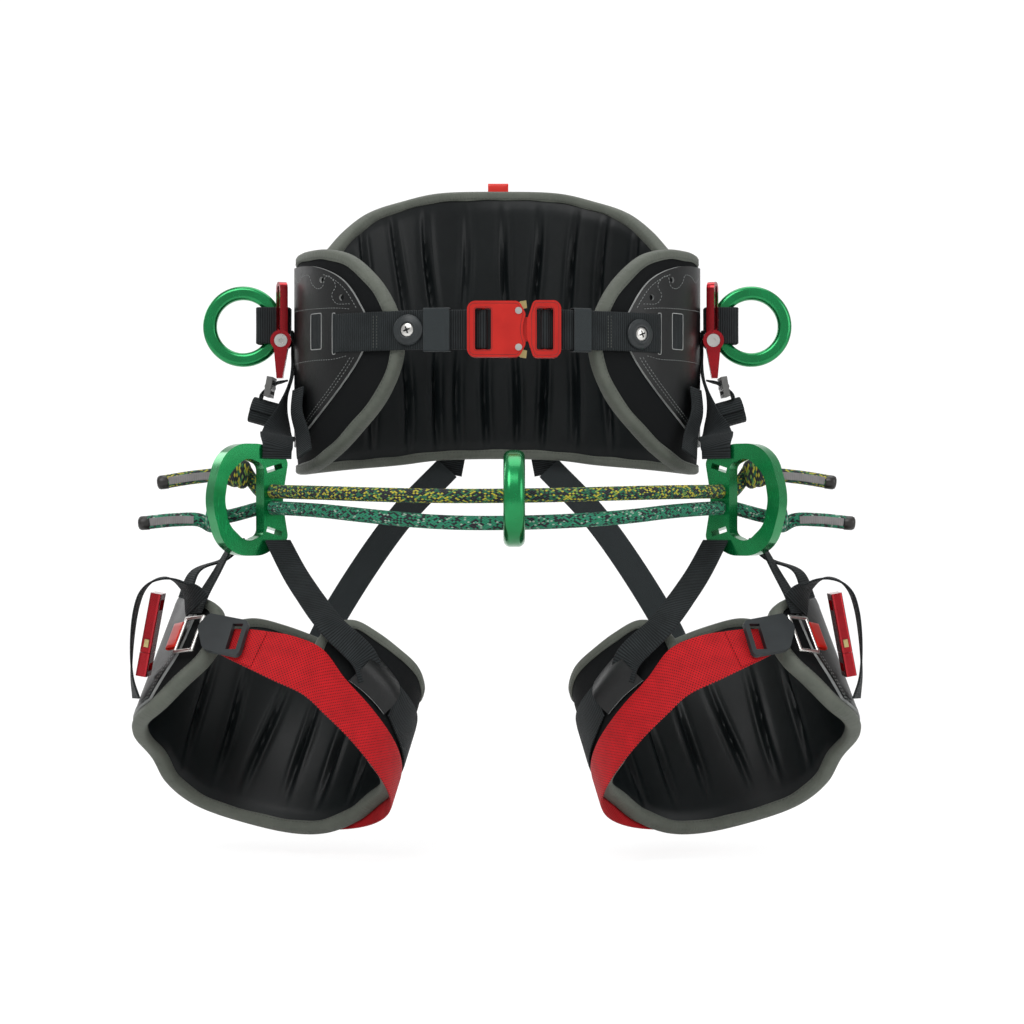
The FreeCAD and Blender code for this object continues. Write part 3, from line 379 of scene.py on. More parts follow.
@dataclass(frozen=True)
class Latticed:
    """Coloured webbing with a diagonal lattice of dark dots, and painted highlight where its knit rises."""

    name: str
    light: Colour
    deep: Colour
    dot: Colour
    cell: float = 2.15

    def material(self) -> bpy.types.Material:
        """The finished material."""
        shader = Shader(self.name)
        across, along, _ = shader.lay()
        first = (across + along) / (self.cell * 1.45)
        second = (across - along) / (self.cell * 1.45)
        middle_a = first.part() - 0.5
        middle_b = second.part() - 0.5
        spread = middle_a * middle_a + middle_b * middle_b
        dots = shader.span(spread, 0.035, 0.075, 1.0, 0.0)
        knit = first.hump() * second.hump()
        edge = shader.span(shader.noise(shader.place(), 70, 3), 0.3, 0.7)
        # The body is lighter where the knit's relief rises: painted highlight. The edge noise is random
        # tone, and the dark dots are the webbing's own pattern.
        body = shader.mix(edge * 0.6 + knit * 0.4, self.deep, self.light)
        fuzz = shader.noise(shader.join(across, along), 2.2, 2)
        shader.set(
            Base_Color=shader.mix(dots, body, self.dot),
            Roughness=shader.span(fuzz, 0.2, 0.8, 0.55, 0.8),
            Normal=shader.bump(1 - dots * 0.9 + knit * 0.4 + fuzz * 0.2, 0.3),
            Sheen_Weight=0.05,
            Specular_IOR_Level=0.18,
        )
        return shader.material


@dataclass(frozen=True)
class Tape:
    """Folded bias tape with a fine diagonal weave, partly painted lighter on the weave's threads and darker
    between them.
    """

    name: str
    light: Colour
    dark: Colour
    pitch: float = 0.9

    def material(self) -> bpy.types.Material:
        """The finished material."""
        shader = Shader(self.name)
        across, along, _ = shader.lay()
        warp = ((along + across) / self.pitch).hump()
        weft = ((along - across) / self.pitch).hump()
        weave = warp * 0.5 + weft * 0.5
        worn = shader.noise(shader.place(), 28, 5, 0.65)
        # A third of the colour follows the weave's relief, as painted highlight and painted shade. The rest
        # follows the worn noise, which is random tone.
        share = weave * 0.35 + shader.span(worn, 0.25, 0.75) * 0.65
        pucker = shader.noise(shader.join(across * 0.05, along * 0.33), 1.0, 2)
        shader.set(
            Base_Color=shader.mix(share, self.dark, self.light),
            Roughness=shader.span(worn, 0.2, 0.8, 0.5, 0.72),
            Normal=shader.bump(pucker, 1.1, 0.7, shader.bump(weave, 0.12)),
            Sheen_Weight=0.05,
            Specular_IOR_Level=0.18,
        )
        return shader.material


@dataclass(frozen=True)
class Cloth:
    """Close cloth for the pads: a smooth lining or a matt outer face."""

    name: str
    light: Colour
    dark: Colour
    rough: tuple[float, float]
    weave: float
    depth: float
    coat: float = 0.0

    def material(self) -> bpy.types.Material:
        """The finished material."""
        shader = Shader(self.name)
        place = shader.place()
        broad = shader.noise(place, 14, 4, 0.6)
        fine = shader.noise(place, self.weave, 2)
        shader.set(
            Base_Color=shader.mix(shader.span(broad, 0.3, 0.7) * 0.7 + fine * 0.3, self.dark, self.light),
            Roughness=shader.span(broad, 0.25, 0.75, *self.rough),
            Normal=shader.bump(broad, 1.6, 0.5, shader.bump(fine, self.depth)),
            Coat_Weight=self.coat,
            Coat_Roughness=0.35,
            Specular_IOR_Level=0.18,
        )
        return shader.material


@dataclass(frozen=True)
class Leather:
    """Glossy leather with a fine grain and scuffs."""

    name: str
    light: Colour
    dark: Colour
    rough: tuple[float, float] = (0.34, 0.50)

    def material(self) -> bpy.types.Material:
        """The finished material."""
        shader = Shader(self.name)
        place = shader.place()
        grain = shader.node("ShaderNodeTexVoronoi", {}, {"Vector": place, "Scale": 900.0}, "Distance")
        broad = shader.noise(place, 24, 4, 0.6)
        scuff = shader.noise(place, 160, 5, 0.7)
        marks = shader.span(scuff, 0.58, 0.7)
        shader.set(
            Base_Color=shader.mix(shader.span(broad, 0.3, 0.7) * 0.8 + marks * 0.2, self.dark, self.light),
            Roughness=shader.span(broad, 0.25, 0.75, *self.rough) + marks * 0.12,
            Normal=shader.bump(broad, 1.2, 0.5, shader.bump(grain, 0.09)),
            Coat_Weight=0.08,
            Coat_Roughness=0.3,
            Specular_IOR_Level=0.3,
        )
        return shader.material


@dataclass(frozen=True)
class Metal:
    """Plain or anodised metal with fine handling marks."""

    name: str
    light: Colour
    dark: Colour
    rough: tuple[float, float]
    metallic: float = 1.0
    coat: float = 0.0
    brushed: float = 0.0

    def material(self) -> bpy.types.Material:
        """The finished material."""
        shader = Shader(self.name)
        place = shader.place()
        broad = shader.noise(place, 30, 3)
        fine = shader.noise(place, 1400, 3, 0.6)
        scratch = shader.noise(shader.join(*self.stretched(shader, place)), 260, 3, 0.7)
        wear = shader.span(scratch, 0.62, 0.75)
        shader.set(
            Base_Color=shader.mix(shader.span(broad, 0.3, 0.7) * 0.8 + wear * 0.2, self.dark, self.light),
            Metallic=self.metallic,
            Roughness=shader.span(broad, 0.3, 0.7, *self.rough) + wear * 0.1,
            Normal=shader.bump(fine + scratch * self.brushed, 0.02),
            Coat_Weight=self.coat,
            Coat_Roughness=0.12,
        )
        return shader.material

    def stretched(self, shader: Shader, place: Value) -> tuple[Value, Value, Value]:
        """The place, drawn out along one axis."""
        x, y, z = shader.split(place)
        return x, y * 6.0, z * 0.25


@dataclass(frozen=True)
class Moulded:
    """Moulded plastic or rubber with a spark-eroded texture."""

    name: str
    light: Colour
    dark: Colour
    rough: tuple[float, float] = (0.42, 0.58)

    def material(self) -> bpy.types.Material:
        """The finished material."""
        shader = Shader(self.name)
        place = shader.place()
        fine = shader.noise(place, 1500, 2)
        broad = shader.noise(place, 45, 3)
        shader.set(
            Base_Color=shader.mix(shader.span(broad, 0.3, 0.7), self.dark, self.light),
            Roughness=shader.span(broad, 0.3, 0.7, *self.rough),
            Normal=shader.bump(fine, 0.05),
            Specular_IOR_Level=0.5,
        )
        return shader.material


@dataclass(frozen=True)
class Braid:
    """Braided rope cover: two sets of strands, over and under each other, in mixed colours, with painted
    shade in the hollows between them.
    """

    name: str
    stops: tuple[tuple[float, Colour], ...]
    strands: int = 18
    slope: float = 3.3
    sheath: float = 0.0

    def material(self) -> bpy.types.Material:
        """The finished material."""
        shader = Shader(self.name)
        around, along, _ = shader.lay()
        turn = around * self.strands
        run = along / self.slope
        first = turn + run
        second = turn - run
        over = ((first.whole() + second.whole()) * 0.5).part() > 0.25
        strand = over * first.math("FLOORED_MODULO", float(self.strands)).whole() + (
            (1 - over) * (second.math("FLOORED_MODULO", float(self.strands)).whole() + 31.0))
        fleck = (over * second + (1 - over) * first).whole() * 0.37
        chance = shader.node("ShaderNodeTexWhiteNoise", {"noise_dimensions": "2D"},
                             {"Vector": shader.join(strand, fleck)})
        colour = shader.pick(chance, self.stops)
        across = over * first.hump() + (1 - over) * second.hump()
        ends = over * second.hump() + (1 - over) * first.hump()
        relief = across * 0.7 + ends * 0.5
        threads = ((over * first + (1 - over) * second) * 4).hump()
        # Where the relief is low, in the hollows between the strands, the colour goes dark: painted shade.
        shade = shader.span(relief + threads * 0.15, 0.15, 1.0)
        fuzz = shader.noise(shader.place(), 900, 2)
        dark = tuple(0.28 * part for part in (0.1, 0.1, 0.1))
        base = shader.mix(shade, dark, colour)
        if self.sheath:
            base = shader.mix(self.sheath, base, (0.42, 0.45, 0.42))
        shader.set(
            Base_Color=base,
            Roughness=shader.span(fuzz, 0.2, 0.8, 0.5, 0.8),
            Normal=shader.bump(relief + threads * 0.2 + fuzz * 0.2, 0.7),
            Sheen_Weight=0.05,
            Specular_IOR_Level=0.4,
        )
        return shader.material


YELLOW: Colour = (0.50, 0.45, 0.03)
LIME: Colour = (0.17, 0.33, 0.06)
FOREST: Colour = (0.005, 0.13, 0.06)
JET: Colour = (0.006, 0.010, 0.016)
TEAL: Colour = (0.005, 0.24, 0.115)
MINT: Colour = (0.32, 0.47, 0.37)

YELLOW_STOPS = ((0.0, JET), (0.34, YELLOW), (0.56, FOREST), (0.78, LIME), (0.88, JET))
GREEN_STOPS = ((0.0, JET), (0.27, TEAL), (0.62, (0.02, 0.26, 0.15)), (0.86, MINT), (0.94, JET))


class Extra(Enum):
    """Finishes that go with a slot's own: cut edges, threads and a pad's outer face, and painted shade for a
    screw's recess and the buckle's grooves.
    """

    EDGE = "leather_edge"
    FACE = "outer_cloth"
    THREAD = "thread"
    PALE_THREAD = "pale_thread"
    WHIPPING = "whipping"
    DARK = "dark_gap"
    GROOVE = "red_groove"
    DULL_STEEL = "dull_steel"


FINISHES = {
    Slot.LINING: Cloth("lining", (0.0040, 0.0062, 0.0068), (0.0016, 0.0028, 0.0032), (0.36, 0.50), 1600,
                       0.10, 0.10),
    Slot.BINDING: Tape("binding", (0.128, 0.138, 0.117), (0.062, 0.070, 0.058)),
    Slot.LEATHER: Leather("leather", (0.0070, 0.0078, 0.0082), (0.0028, 0.0032, 0.0035)),
    Slot.WEBBING: Webbing("webbing", (0.024, 0.029, 0.031), (0.0012, 0.0018, 0.002)),
    Slot.ELASTIC: Herringbone("elastic", (0.040, 0.048, 0.051), (0.002, 0.003, 0.0035)),
    Slot.BUCKLE_RED: Metal("buckle_red", (0.62, 0.018, 0.010), (0.50, 0.012, 0.008), (0.30, 0.38), 0.55,
                           0.3),
    Slot.BRACKET_RED: Metal("bracket_red", (0.46, 0.004, 0.013), (0.30, 0.002, 0.008), (0.16, 0.24), 0.9,
                            0.5),
    Slot.BRASS: Metal("brass", (0.66, 0.54, 0.25), (0.48, 0.38, 0.17), (0.28, 0.42), 1.0, 0.0, 0.8),
    Slot.STEEL: Metal("steel", (0.74, 0.73, 0.70), (0.52, 0.51, 0.49), (0.22, 0.36), 1.0, 0.0, 0.6),
    Slot.GREEN: Metal("green", (0.003, 0.27, 0.075), (0.002, 0.20, 0.052), (0.20, 0.28), 0.75, 0.4),
    Slot.PLASTIC: Moulded("black_plastic", (0.011, 0.016, 0.018), (0.006, 0.009, 0.0105)),
    Slot.RED_WEB: Latticed("red_web", (0.55, 0.006, 0.011), (0.36, 0.003, 0.006), (0.012, 0.001, 0.002)),
    Slot.RED_RIBBON: Cloth("red_ribbon", (0.68, 0.030, 0.012), (0.50, 0.006, 0.008), (0.3, 0.45), 900, 0.05,
                           0.4),
    Slot.ROPE_YELLOW: Braid("rope_yellow", YELLOW_STOPS),
    Slot.ROPE_GREEN: Braid("rope_green", GREEN_STOPS),
    Slot.ROPE_END: Moulded("rope_end", (0.016, 0.014, 0.013), (0.008, 0.007, 0.006), (0.3, 0.5)),
    Extra.EDGE: Moulded("leather_edge", (0.36, 0.37, 0.36), (0.20, 0.21, 0.21), (0.6, 0.8)),
    Extra.FACE: Cloth("outer_cloth", (0.0045, 0.0055, 0.006), (0.002, 0.0025, 0.003), (0.8, 0.95), 2200,
                      0.22),
    Extra.THREAD: Moulded("thread", (0.075, 0.080, 0.070), (0.04, 0.045, 0.04), (0.6, 0.8)),
    Extra.PALE_THREAD: Moulded("pale_thread", (0.26, 0.28, 0.27), (0.16, 0.17, 0.17), (0.5, 0.7)),
    Extra.WHIPPING: Webbing("whipping", (0.36, 0.34, 0.34), (0.12, 0.12, 0.12), 1.1, 30.0, 0.4),
    Extra.DULL_STEEL: Metal("dull_steel", (0.22, 0.22, 0.21), (0.12, 0.12, 0.12), (0.35, 0.5), 1.0, 0.0,
                            0.6),
    # Painted shade for the grooves cut into the front buckle.
    Extra.GROOVE: Moulded("red_groove", (0.20, 0.006, 0.005), (0.12, 0.003, 0.003), (0.5, 0.7)),
    # Painted shade for the screws' cross recesses.
    Extra.DARK: Moulded("dark_gap", (0.008, 0.009, 0.010), (0.004, 0.005, 0.005), (0.5, 0.7)),
}
PALETTE: dict[Enum, bpy.types.Material] = {}


def finish(kind: Enum) -> bpy.types.Material:
    """The material of a finish, made when it is first asked for."""
    if kind not in PALETTE:
        PALETTE[kind] = FINISHES[kind].material()
    return PALETTE[kind]


# ---- meshes ---------------------------------------------------------------------------------
Points = np.ndarray


def smooth(points: Sequence[Sequence[float]], step: float, closed: bool = False) -> Points:
    """A smooth line through points of two or more numbers, by centripetal splines.

    Args:
        points: what the line goes through.
        step: the distance between the points given back.
        closed: whether the line joins up.

    Returns:
        The points along it, in rows.
    """
    given = np.array(points, float)
    count = len(given)
    rows = []
    for index in range(count if closed else count - 1):
        near, far = given[index], given[(index + 1) % count]
        before = given[index - 1] if closed or index else 2 * near - far
        after = given[(index + 2) % count] if closed or index + 2 < count else 2 * far - near
        gaps = [max(float(np.linalg.norm((b - a)[:3])), 1e-6) ** 0.5
                for a, b in ((before, near), (near, far), (far, after))]
        knots = np.cumsum([0.0, *gaps])
        pieces = max(1, math.ceil(gaps[1] ** 2 / step))
        for k in range(pieces):
            t = knots[1] + (knots[2] - knots[1]) * k / pieces
            first = [_between(a, b, knots[i], knots[i + 1], t)
                     for i, (a, b) in enumerate(((before, near), (near, far), (far, after)))]
            second = [_between(first[i], first[i + 1], knots[i], knots[i + 2], t) for i in range(2)]
            rows.append(_between(second[0], second[1], knots[1], knots[2], t))
    if not closed:
        rows.append(given[-1])
    return np.array(rows)


def _between(low: Points, high: Points, start: float, end: float, at: float) -> Points:
    """A point on the straight line through two, by its parameter."""
    return low + (high - low) * ((at - start) / (end - start))


def unit(rows: Points) -> Points:
    """Rows of vectors made one long."""
    return rows / np.maximum(np.linalg.norm(rows, axis=-1, keepdims=True), 1e-9)


def directions(path: Points, looped: bool = False) -> Points:
    """The unit tangents along a path."""
    if looped:
        return unit(np.roll(path, -1, 0) - np.roll(path, 1, 0))
    return unit(np.gradient(path, axis=0))


def lengths(path: Points) -> Points:
    """The distance run at each point of a path."""
    return np.concatenate([[0.0], np.cumsum(np.linalg.norm(np.diff(path, axis=0), axis=1))])


@dataclass
class Skin:
    """Rings of points joined into one closed skin, with marks for its weave.

    Rings are [ring, point, xyz] in millimetres. Marks are [ring, point, 3], and have one more point
    to a ring, and one more ring where the skin loops, so that a weave meets itself.
    """

    rings: Points
    marks: Points | None = None
    looped: bool = False
    capped: bool = True
    kinds: Callable[[int, int], int] | None = None

    def build(self, name: str, kinds: Sequence[Enum], smoothed: bool = True) -> bpy.types.Object:
        """Make the object.

        Args:
            name: the piece's name.
            kinds: its finishes, in the order that self.kinds numbers them.
            smoothed: whether its faces shade smoothly.

        Returns:
            The new object.
        """
        count, width = self.rings.shape[:2]
        faces = []
        corners = []
        numbers = []
        for i in range(count if self.looped else count - 1):
            following = (i + 1) % count
            for j in range(width):
                right = (j + 1) % width
                faces.append((i * width + j, i * width + right, following * width + right,
                              following * width + j))
                corners.extend(((i, j), (i, j + 1), (i + 1, j + 1), (i + 1, j)))
                numbers.append(self.kinds(i, j) if self.kinds else 0)
        if self.capped and not self.looped:
            faces.append(tuple(range(width))[::-1])
            corners.extend((0, j) for j in range(width - 1, -1, -1))
            faces.append(tuple((count - 1) * width + j for j in range(width)))
            corners.extend((count - 1, j) for j in range(width))
            numbers.extend((numbers[0], numbers[-1]))
        marks = None
        if self.marks is not None:
            at = np.array(corners)
            marks = self.marks[at[:, 0], at[:, 1]]
        return make_mesh(name, self.rings.reshape(-1, 3), faces, kinds, numbers, marks, smoothed)


def make_mesh(name: str, points: Points, faces: Sequence[Sequence[int]], kinds: Sequence[Enum],
              numbers: Sequence[int] | None = None, marks: Points | None = None,
              smoothed: bool = True) -> bpy.types.Object:
    """Make a mesh object from points in millimetres.

    Args:
        name: the piece's name.
        points: rows of points.
        faces: rows of point numbers.
        kinds: the finishes.
        numbers: which finish each face takes.
        marks: the weave's place at each face corner.
        smoothed: whether its faces shade smoothly.

    Returns:
        The new object, in the scene.
    """
    mesh = bpy.data.meshes.new(name)
    mesh.from_pydata((points * MM).tolist(), [], [tuple(face) for face in faces])
    if marks is not None:
        layer = mesh.attributes.new("lay", "FLOAT_VECTOR", "CORNER")
        layer.data.foreach_set("vector", np.ascontiguousarray(marks, np.float32).ravel())
    if numbers is not None:
        mesh.polygons.foreach_set("material_index", np.array(numbers, np.int32))
    for kind in kinds:
        mesh.materials.append(finish(kind))
    mesh.update()
    built = bpy.data.objects.new(name, mesh)
    bpy.context.scene.collection.objects.link(built)
    tidy_mesh(mesh, smoothed)
    return built


def tidy_mesh(mesh: bpy.types.Mesh, smoothed: bool) -> None:
    """Turn a mesh's faces outward and set how they shade."""
    work = bmesh.new()
    work.from_mesh(mesh)
    bmesh.ops.recalc_face_normals(work, faces=work.faces)
    for face in work.faces:
        face.smooth = smoothed
    if smoothed:
        for edge in work.edges:
            if len(edge.link_faces) == 2 and edge.calc_face_angle(0.0) > math.radians(48):
                edge.smooth = False
    work.to_mesh(mesh)
    work.free()


def joined(name: str, parts: Sequence[bpy.types.Object]) -> bpy.types.Object:
    """Join objects into one, keeping their materials and weave.

    Args:
        name: the new name.
        parts: the objects, which go.

    Returns:
        The one object.
    """
    bpy.ops.object.select_all(action="DESELECT")
    for part in parts:
        part.select_set(True)
    bpy.context.view_layer.objects.active = parts[0]
    if len(parts) > 1:
        bpy.ops.object.join()
    whole = bpy.context.view_layer.objects.active
    whole.name = name
    whole.data.name = name
    whole.select_set(False)
    return whole


def mirrored(piece: bpy.types.Object, name: str) -> bpy.types.Object:
    """A copy of a piece on the other side of the plane X = 0."""
    copy = piece.copy()
    copy.data = piece.data.copy()
    copy.name = name
    copy.data.name = name
    copy.data.transform(Matrix.Scale(-1, 4, (1, 0, 0)))
    copy.data.flip_normals()
    bpy.context.scene.collection.objects.link(copy)
    return copy


def ride(piece: bpy.types.Object, body: str, slot: Slot, *nodes: str) -> bpy.types.Object:
    """Give a piece its body, hide the CAD nodes that it stands for, and report it."""
    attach(piece, body)
    settle(piece, slot, *nodes)
    return piece


def settle(piece: bpy.types.Object, slot: Slot, *nodes: str) -> None:
    """Hide the CAD nodes that a piece stands for, and report it."""
    if nodes:
        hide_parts(*nodes)
    LOG.info("%s: %d points", piece.name, len(piece.data.vertices))


def cut(piece: bpy.types.Object, cutters: Sequence[bpy.types.Object]) -> bpy.types.Object:
    """Take cutters away from a piece, and remove them.

    Args:
        piece: what is cut.
        cutters: closed meshes.

    Returns:
        The piece, with its new mesh.
    """
    for cutter in cutters:
        step = piece.modifiers.new("cut", "BOOLEAN")
        step.operation = "DIFFERENCE"
        step.solver = "EXACT"
        step.object = cutter
    graph = bpy.context.evaluated_depsgraph_get()
    mesh = bpy.data.meshes.new_from_object(piece.evaluated_get(graph), preserve_all_data_layers=True,
                                           depsgraph=graph)
    piece.modifiers.clear()
    old = piece.data
    piece.data = mesh
    bpy.data.meshes.remove(old)
    mesh.name = piece.name
    for cutter in cutters:
        bpy.data.objects.remove(cutter)
    tidy_mesh(mesh, True)
    return piece


def frame_matrix(origin: Sequence[float], x_axis: Sequence[float], y_axis: Sequence[float],
                 z_axis: Sequence[float]) -> Matrix:
    """The matrix from a piece's own frame, in millimetres, to the saddle's frame, in metres."""
    columns = [(*(Vector(axis) * MM), 0.0) for axis in (x_axis, y_axis, z_axis)]
    return Matrix((*columns, (*(Vector(origin) * MM), 1.0))).transposed()


def moved(piece: bpy.types.Object, matrix: Matrix) -> bpy.types.Object:
    """Carry a piece's mesh by a matrix."""
    piece.data.transform(matrix)
    piece.data.update()
    return piece


def ball_turn(axis: str, degrees: float) -> Matrix:
    """A turn about one of the three axes."""
    return Matrix.Rotation(math.radians(degrees), 4, axis)


def rounded(corners: Sequence[tuple[float, float, float]], steps: int = 10) -> list[tuple[float, float]]:
    """An outline with round corners.

    Args:
        corners: each corner and its radius.
        steps: points in each corner's arc.

    Returns:
        The outline's points.
    """
    points = []
    for index, (x, y, radius) in enumerate(corners):
        corner = Vector((x, y))
        before = Vector(corners[index - 1][:2])
        after = Vector(corners[(index + 1) % len(corners)][:2])
        incoming = (corner - before).normalized()
        outgoing = (after - corner).normalized()
        turn = incoming.angle(outgoing, 0.0)
        setback = radius * math.tan(turn / 2)
        enter = corner - incoming * setback
        leave = corner + outgoing * setback
        for k in range(steps + 1):
            share = k / steps
            bent = enter * (1 - share) ** 2 + corner * (2 * share * (1 - share)) + leave * share ** 2
            points.append((bent.x, bent.y))
    return points


def clockwise(points: Sequence[tuple[float, float]]) -> bool:
    """Whether an outline runs clockwise."""
    area = sum(a[0] * b[1] - b[0] * a[1] for a, b in zip(points, [*points[1:], points[0]]))
    return area < 0


def plate(name: str, kind: Enum, outline: Sequence[tuple[float, float]],
          holes: Sequence[Sequence[tuple[float, float]]], thick: float, edge: float,
          fine: int = 3) -> bpy.types.Object:
    """A flat plate with rounded edges, in its own XY plane and centred on it.

    Args:
        name: the piece's name.
        kind: its finish.
        outline: its outer edge.
        holes: the edges of its holes.
        thick: its thickness.
        edge: the radius of its edges.
        fine: the steps in that radius.

    Returns:
        The plate, in millimetres until moved puts it in place.
    """
    curve = bpy.data.curves.new(name, "CURVE")
    curve.dimensions = "2D"
    curve.fill_mode = "BOTH"
    for index, line in enumerate((outline, *holes)):
        points = list(line)
        if clockwise(points) != bool(index):
            points.reverse()
        spline = curve.splines.new("POLY")
        spline.points.add(len(points) - 1)
        for point, (x, y) in zip(spline.points, points):
            point.co = (x, y, 0, 1)
        spline.use_cyclic_u = True
    curve.extrude = thick / 2 - edge
    curve.bevel_depth = edge
    curve.bevel_resolution = fine
    curve.offset = -edge
    holder = bpy.data.objects.new(name, curve)
    bpy.context.scene.collection.objects.link(holder)
    graph = bpy.context.evaluated_depsgraph_get()
    mesh = bpy.data.meshes.new_from_object(holder.evaluated_get(graph))
    bpy.data.objects.remove(holder)
    bpy.data.curves.remove(curve)
    mesh.name = name
    work = bmesh.new()
    work.from_mesh(mesh)
    bmesh.ops.remove_doubles(work, verts=work.verts, dist=0.001)
    work.to_mesh(mesh)
    work.free()
    mesh.materials.clear()
    mesh.materials.append(finish(kind))
    built = bpy.data.objects.new(name, mesh)
    bpy.context.scene.collection.objects.link(built)
    tidy_mesh(mesh, True)
    return built


def block(name: str, kind: Enum, size: Sequence[float],
          centre: Sequence[float] = (0, 0, 0)) -> bpy.types.Object:
    """A square block for cutting with, in millimetres."""
    mesh = bpy.data.meshes.new(name)
    work = bmesh.new()
    bmesh.ops.create_cube(work, size=1, matrix=Matrix.Translation(centre) @ Matrix.Diagonal((*size, 1)))
    work.to_mesh(mesh)
    work.free()
    mesh.materials.append(finish(kind))
    built = bpy.data.objects.new(name, mesh)
    bpy.context.scene.collection.objects.link(built)
    return built


def lathe(name: str, kind: Enum, profile: Sequence[tuple[float, float]], steps: int = 64,
          looped: bool = False) -> bpy.types.Object:
    """A turned piece about its own Z axis.

    Args:
        name: the piece's name.
        kind: its finish.
        profile: its radius and height, from one end of the axis to the other, or round a ring's section.
        steps: the faces round it.
        looped: whether the profile closes on itself, as a ring's does.

    Returns:
        The piece, in millimetres until moved puts it in place.
    """
    angles = np.arange(steps) * TAU / steps
    rows = []
    for radius, height in profile:
        rows.append(np.stack([radius * np.cos(angles), radius * np.sin(angles), np.full(steps, height)], 1))
    skin = Skin(np.array(rows) / MM, looped=looped)
    return skin.build(name, [kind])


def swept(path: Points, section: Points, up: Points | None = None, looped: bool = False) -> Points:
    """Rings of one section carried along a path.

    Args:
        path: the path's points.
        section: the section's points, sideways and upward of the path.
        up: the upward direction at each point, or None to carry one along without twist.
        looped: whether the path joins up.

    Returns:
        The rings.
    """
    along = directions(path, looped)
    if up is None:
        up = carried(along)
    side = unit(np.cross(along, up))
    up = np.cross(side, along)
    return (path[:, None] + side[:, None] * section[None, :, 0:1] + up[:, None] * section[None, :, 1:2])


def carried(along: Points) -> Points:
    """Upward directions along a path that don't twist about it."""
    start = np.array((0.0, 0.0, 1.0)) if abs(along[0][2]) < 0.9 else np.array((0.0, 1.0, 0.0))
    rows = [start - along[0] * np.dot(start, along[0])]
    for direction in along[1:]:
        row = rows[-1] - direction * np.dot(rows[-1], direction)
        rows.append(row)
    return unit(np.array(rows))


def circle(radius: float, steps: int = 16) -> Points:
    """A round section."""
    angles = np.arange(steps) * TAU / steps
    return np.stack([radius * np.cos(angles), radius * np.sin(angles)], 1)


def rod(name: str, kind: Enum, path: Points, radius: float, looped: bool = False,
        steps: int = 14) -> bpy.types.Object:
    """A round rod or wire along a path."""
    return Skin(swept(path, circle(radius, steps), None, looped), looped=looped).build(name, [kind])


# ---- webbing --------------------------------------------------------------------------------
@dataclass(frozen=True)
class Strap:
    """Flat webbing of one width and thickness, with rounded selvedges."""

    width: float
    thick: float = 2.2

    def section(self) -> tuple[Points, Points]:
        """The section's points, across and out, and their places across the weave."""
        half = self.width / 2
        rim = self.thick / 2
        inner = np.linspace(-half + rim, half - rim, 9)
        crown = 1 - 0.12 * np.cos(np.linspace(-1, 1, 9) * math.pi / 2)
        top = np.stack([inner, rim * crown], 1)
        bottom = np.stack([inner[::-1], -rim * crown], 1)
        right = [(half - rim + rim * math.cos(a), rim * math.sin(a)) for a in (math.pi / 4, 0, -math.pi / 4)]
        left = [(-x, -y) for x, y in right]
        points = np.concatenate([top, right, bottom, left])
        return points, np.append(points[:, 0], points[0, 0])

    def skin(self, stations: Sequence[tuple[Sequence[float], Sequence[float]]], step: float = 3.0,
             looped: bool = False, start: float = 0.0) -> Skin:
        """Webbing along stations, each a point and the direction across the webbing there."""
        rows = smooth([(*point, *np.multiply(unit(np.array(across, float)), 1.0))
                       for point, across in stations], step, looped)
        path, across = rows[:, :3], unit(rows[:, 3:])
        along = directions(path, looped)
        out = unit(np.cross(along, across))
        side = np.cross(out, along)
        points, places = self.section()
        rings = path[:, None] + side[:, None] * points[None, :, 0:1] + out[:, None] * points[None, :, 1:2]
        run = lengths(np.concatenate([path, path[:1]]) if looped else path) + start
        marks = np.zeros((len(run), len(places), 3))
        marks[:, :, 0] = places[None]
        marks[:, :, 1] = run[:, None]
        return Skin(rings, marks, looped)

    def build(self, name: str, kind: Enum, stations: Sequence[tuple], step: float = 3.0,
              looped: bool = False) -> bpy.types.Object:
        """Webbing along stations, as an object."""
        return self.skin(stations, step, looped).build(name, [kind])


def stitching(name: str, kind: Enum, rows: Sequence[tuple[Points, Points]], stitch: float = 2.6,
              gap: float = 1.5, width: float = 0.75, proud: float = 0.32) -> bpy.types.Object:
    """Rows of thread stitches lying on a surface.

    Args:
        name: the piece's name.
        kind: the thread's finish.
        rows: each row's points on the surface and the outward directions there.
        stitch: a stitch's length.
        gap: the gap between two stitches.
        width: the thread's width.
        proud: how far the thread stands out.

    Returns:
        One object with every stitch.
    """
    points = []
    faces = []
    section = np.array([(-1.0, -0.4), (-0.7, 0.6), (0.0, 1.0), (0.7, 0.6), (1.0, -0.4)])
    shares = ((0.0, 0.35), (0.18, 1.0), (0.82, 1.0), (1.0, 0.35))
    for path, normals in rows:
        run = lengths(path)
        along = directions(path)
        start = gap
        while start + stitch < run[-1]:
            base = len(points)
            for share, fat in shares:
                at = start + stitch * share
                centre = np.array([np.interp(at, run, path[:, k]) for k in range(3)])
                ahead = unit(np.array([np.interp(at, run, along[:, k]) for k in range(3)]))
                out = unit(np.array([np.interp(at, run, normals[:, k]) for k in range(3)]))
                side = np.cross(ahead, out)
                for across, high in section:
                    points.append(centre + side * (across * fat * width / 2) + out * (high * fat * proud))
            size = len(section)
            for i in range(len(shares) - 1):
                for j in range(size):
                    right = (j + 1) % size
                    faces.append((base + i * size + j, base + i * size + right,
                                  base + (i + 1) * size + right, base + (i + 1) * size + j))
            faces.append(tuple(base + j for j in range(size - 1, -1, -1)))
            faces.append(tuple(base + (len(shares) - 1) * size + j for j in range(size)))
            start += stitch + gap
    return make_mesh(name, np.array(points), faces, [kind])


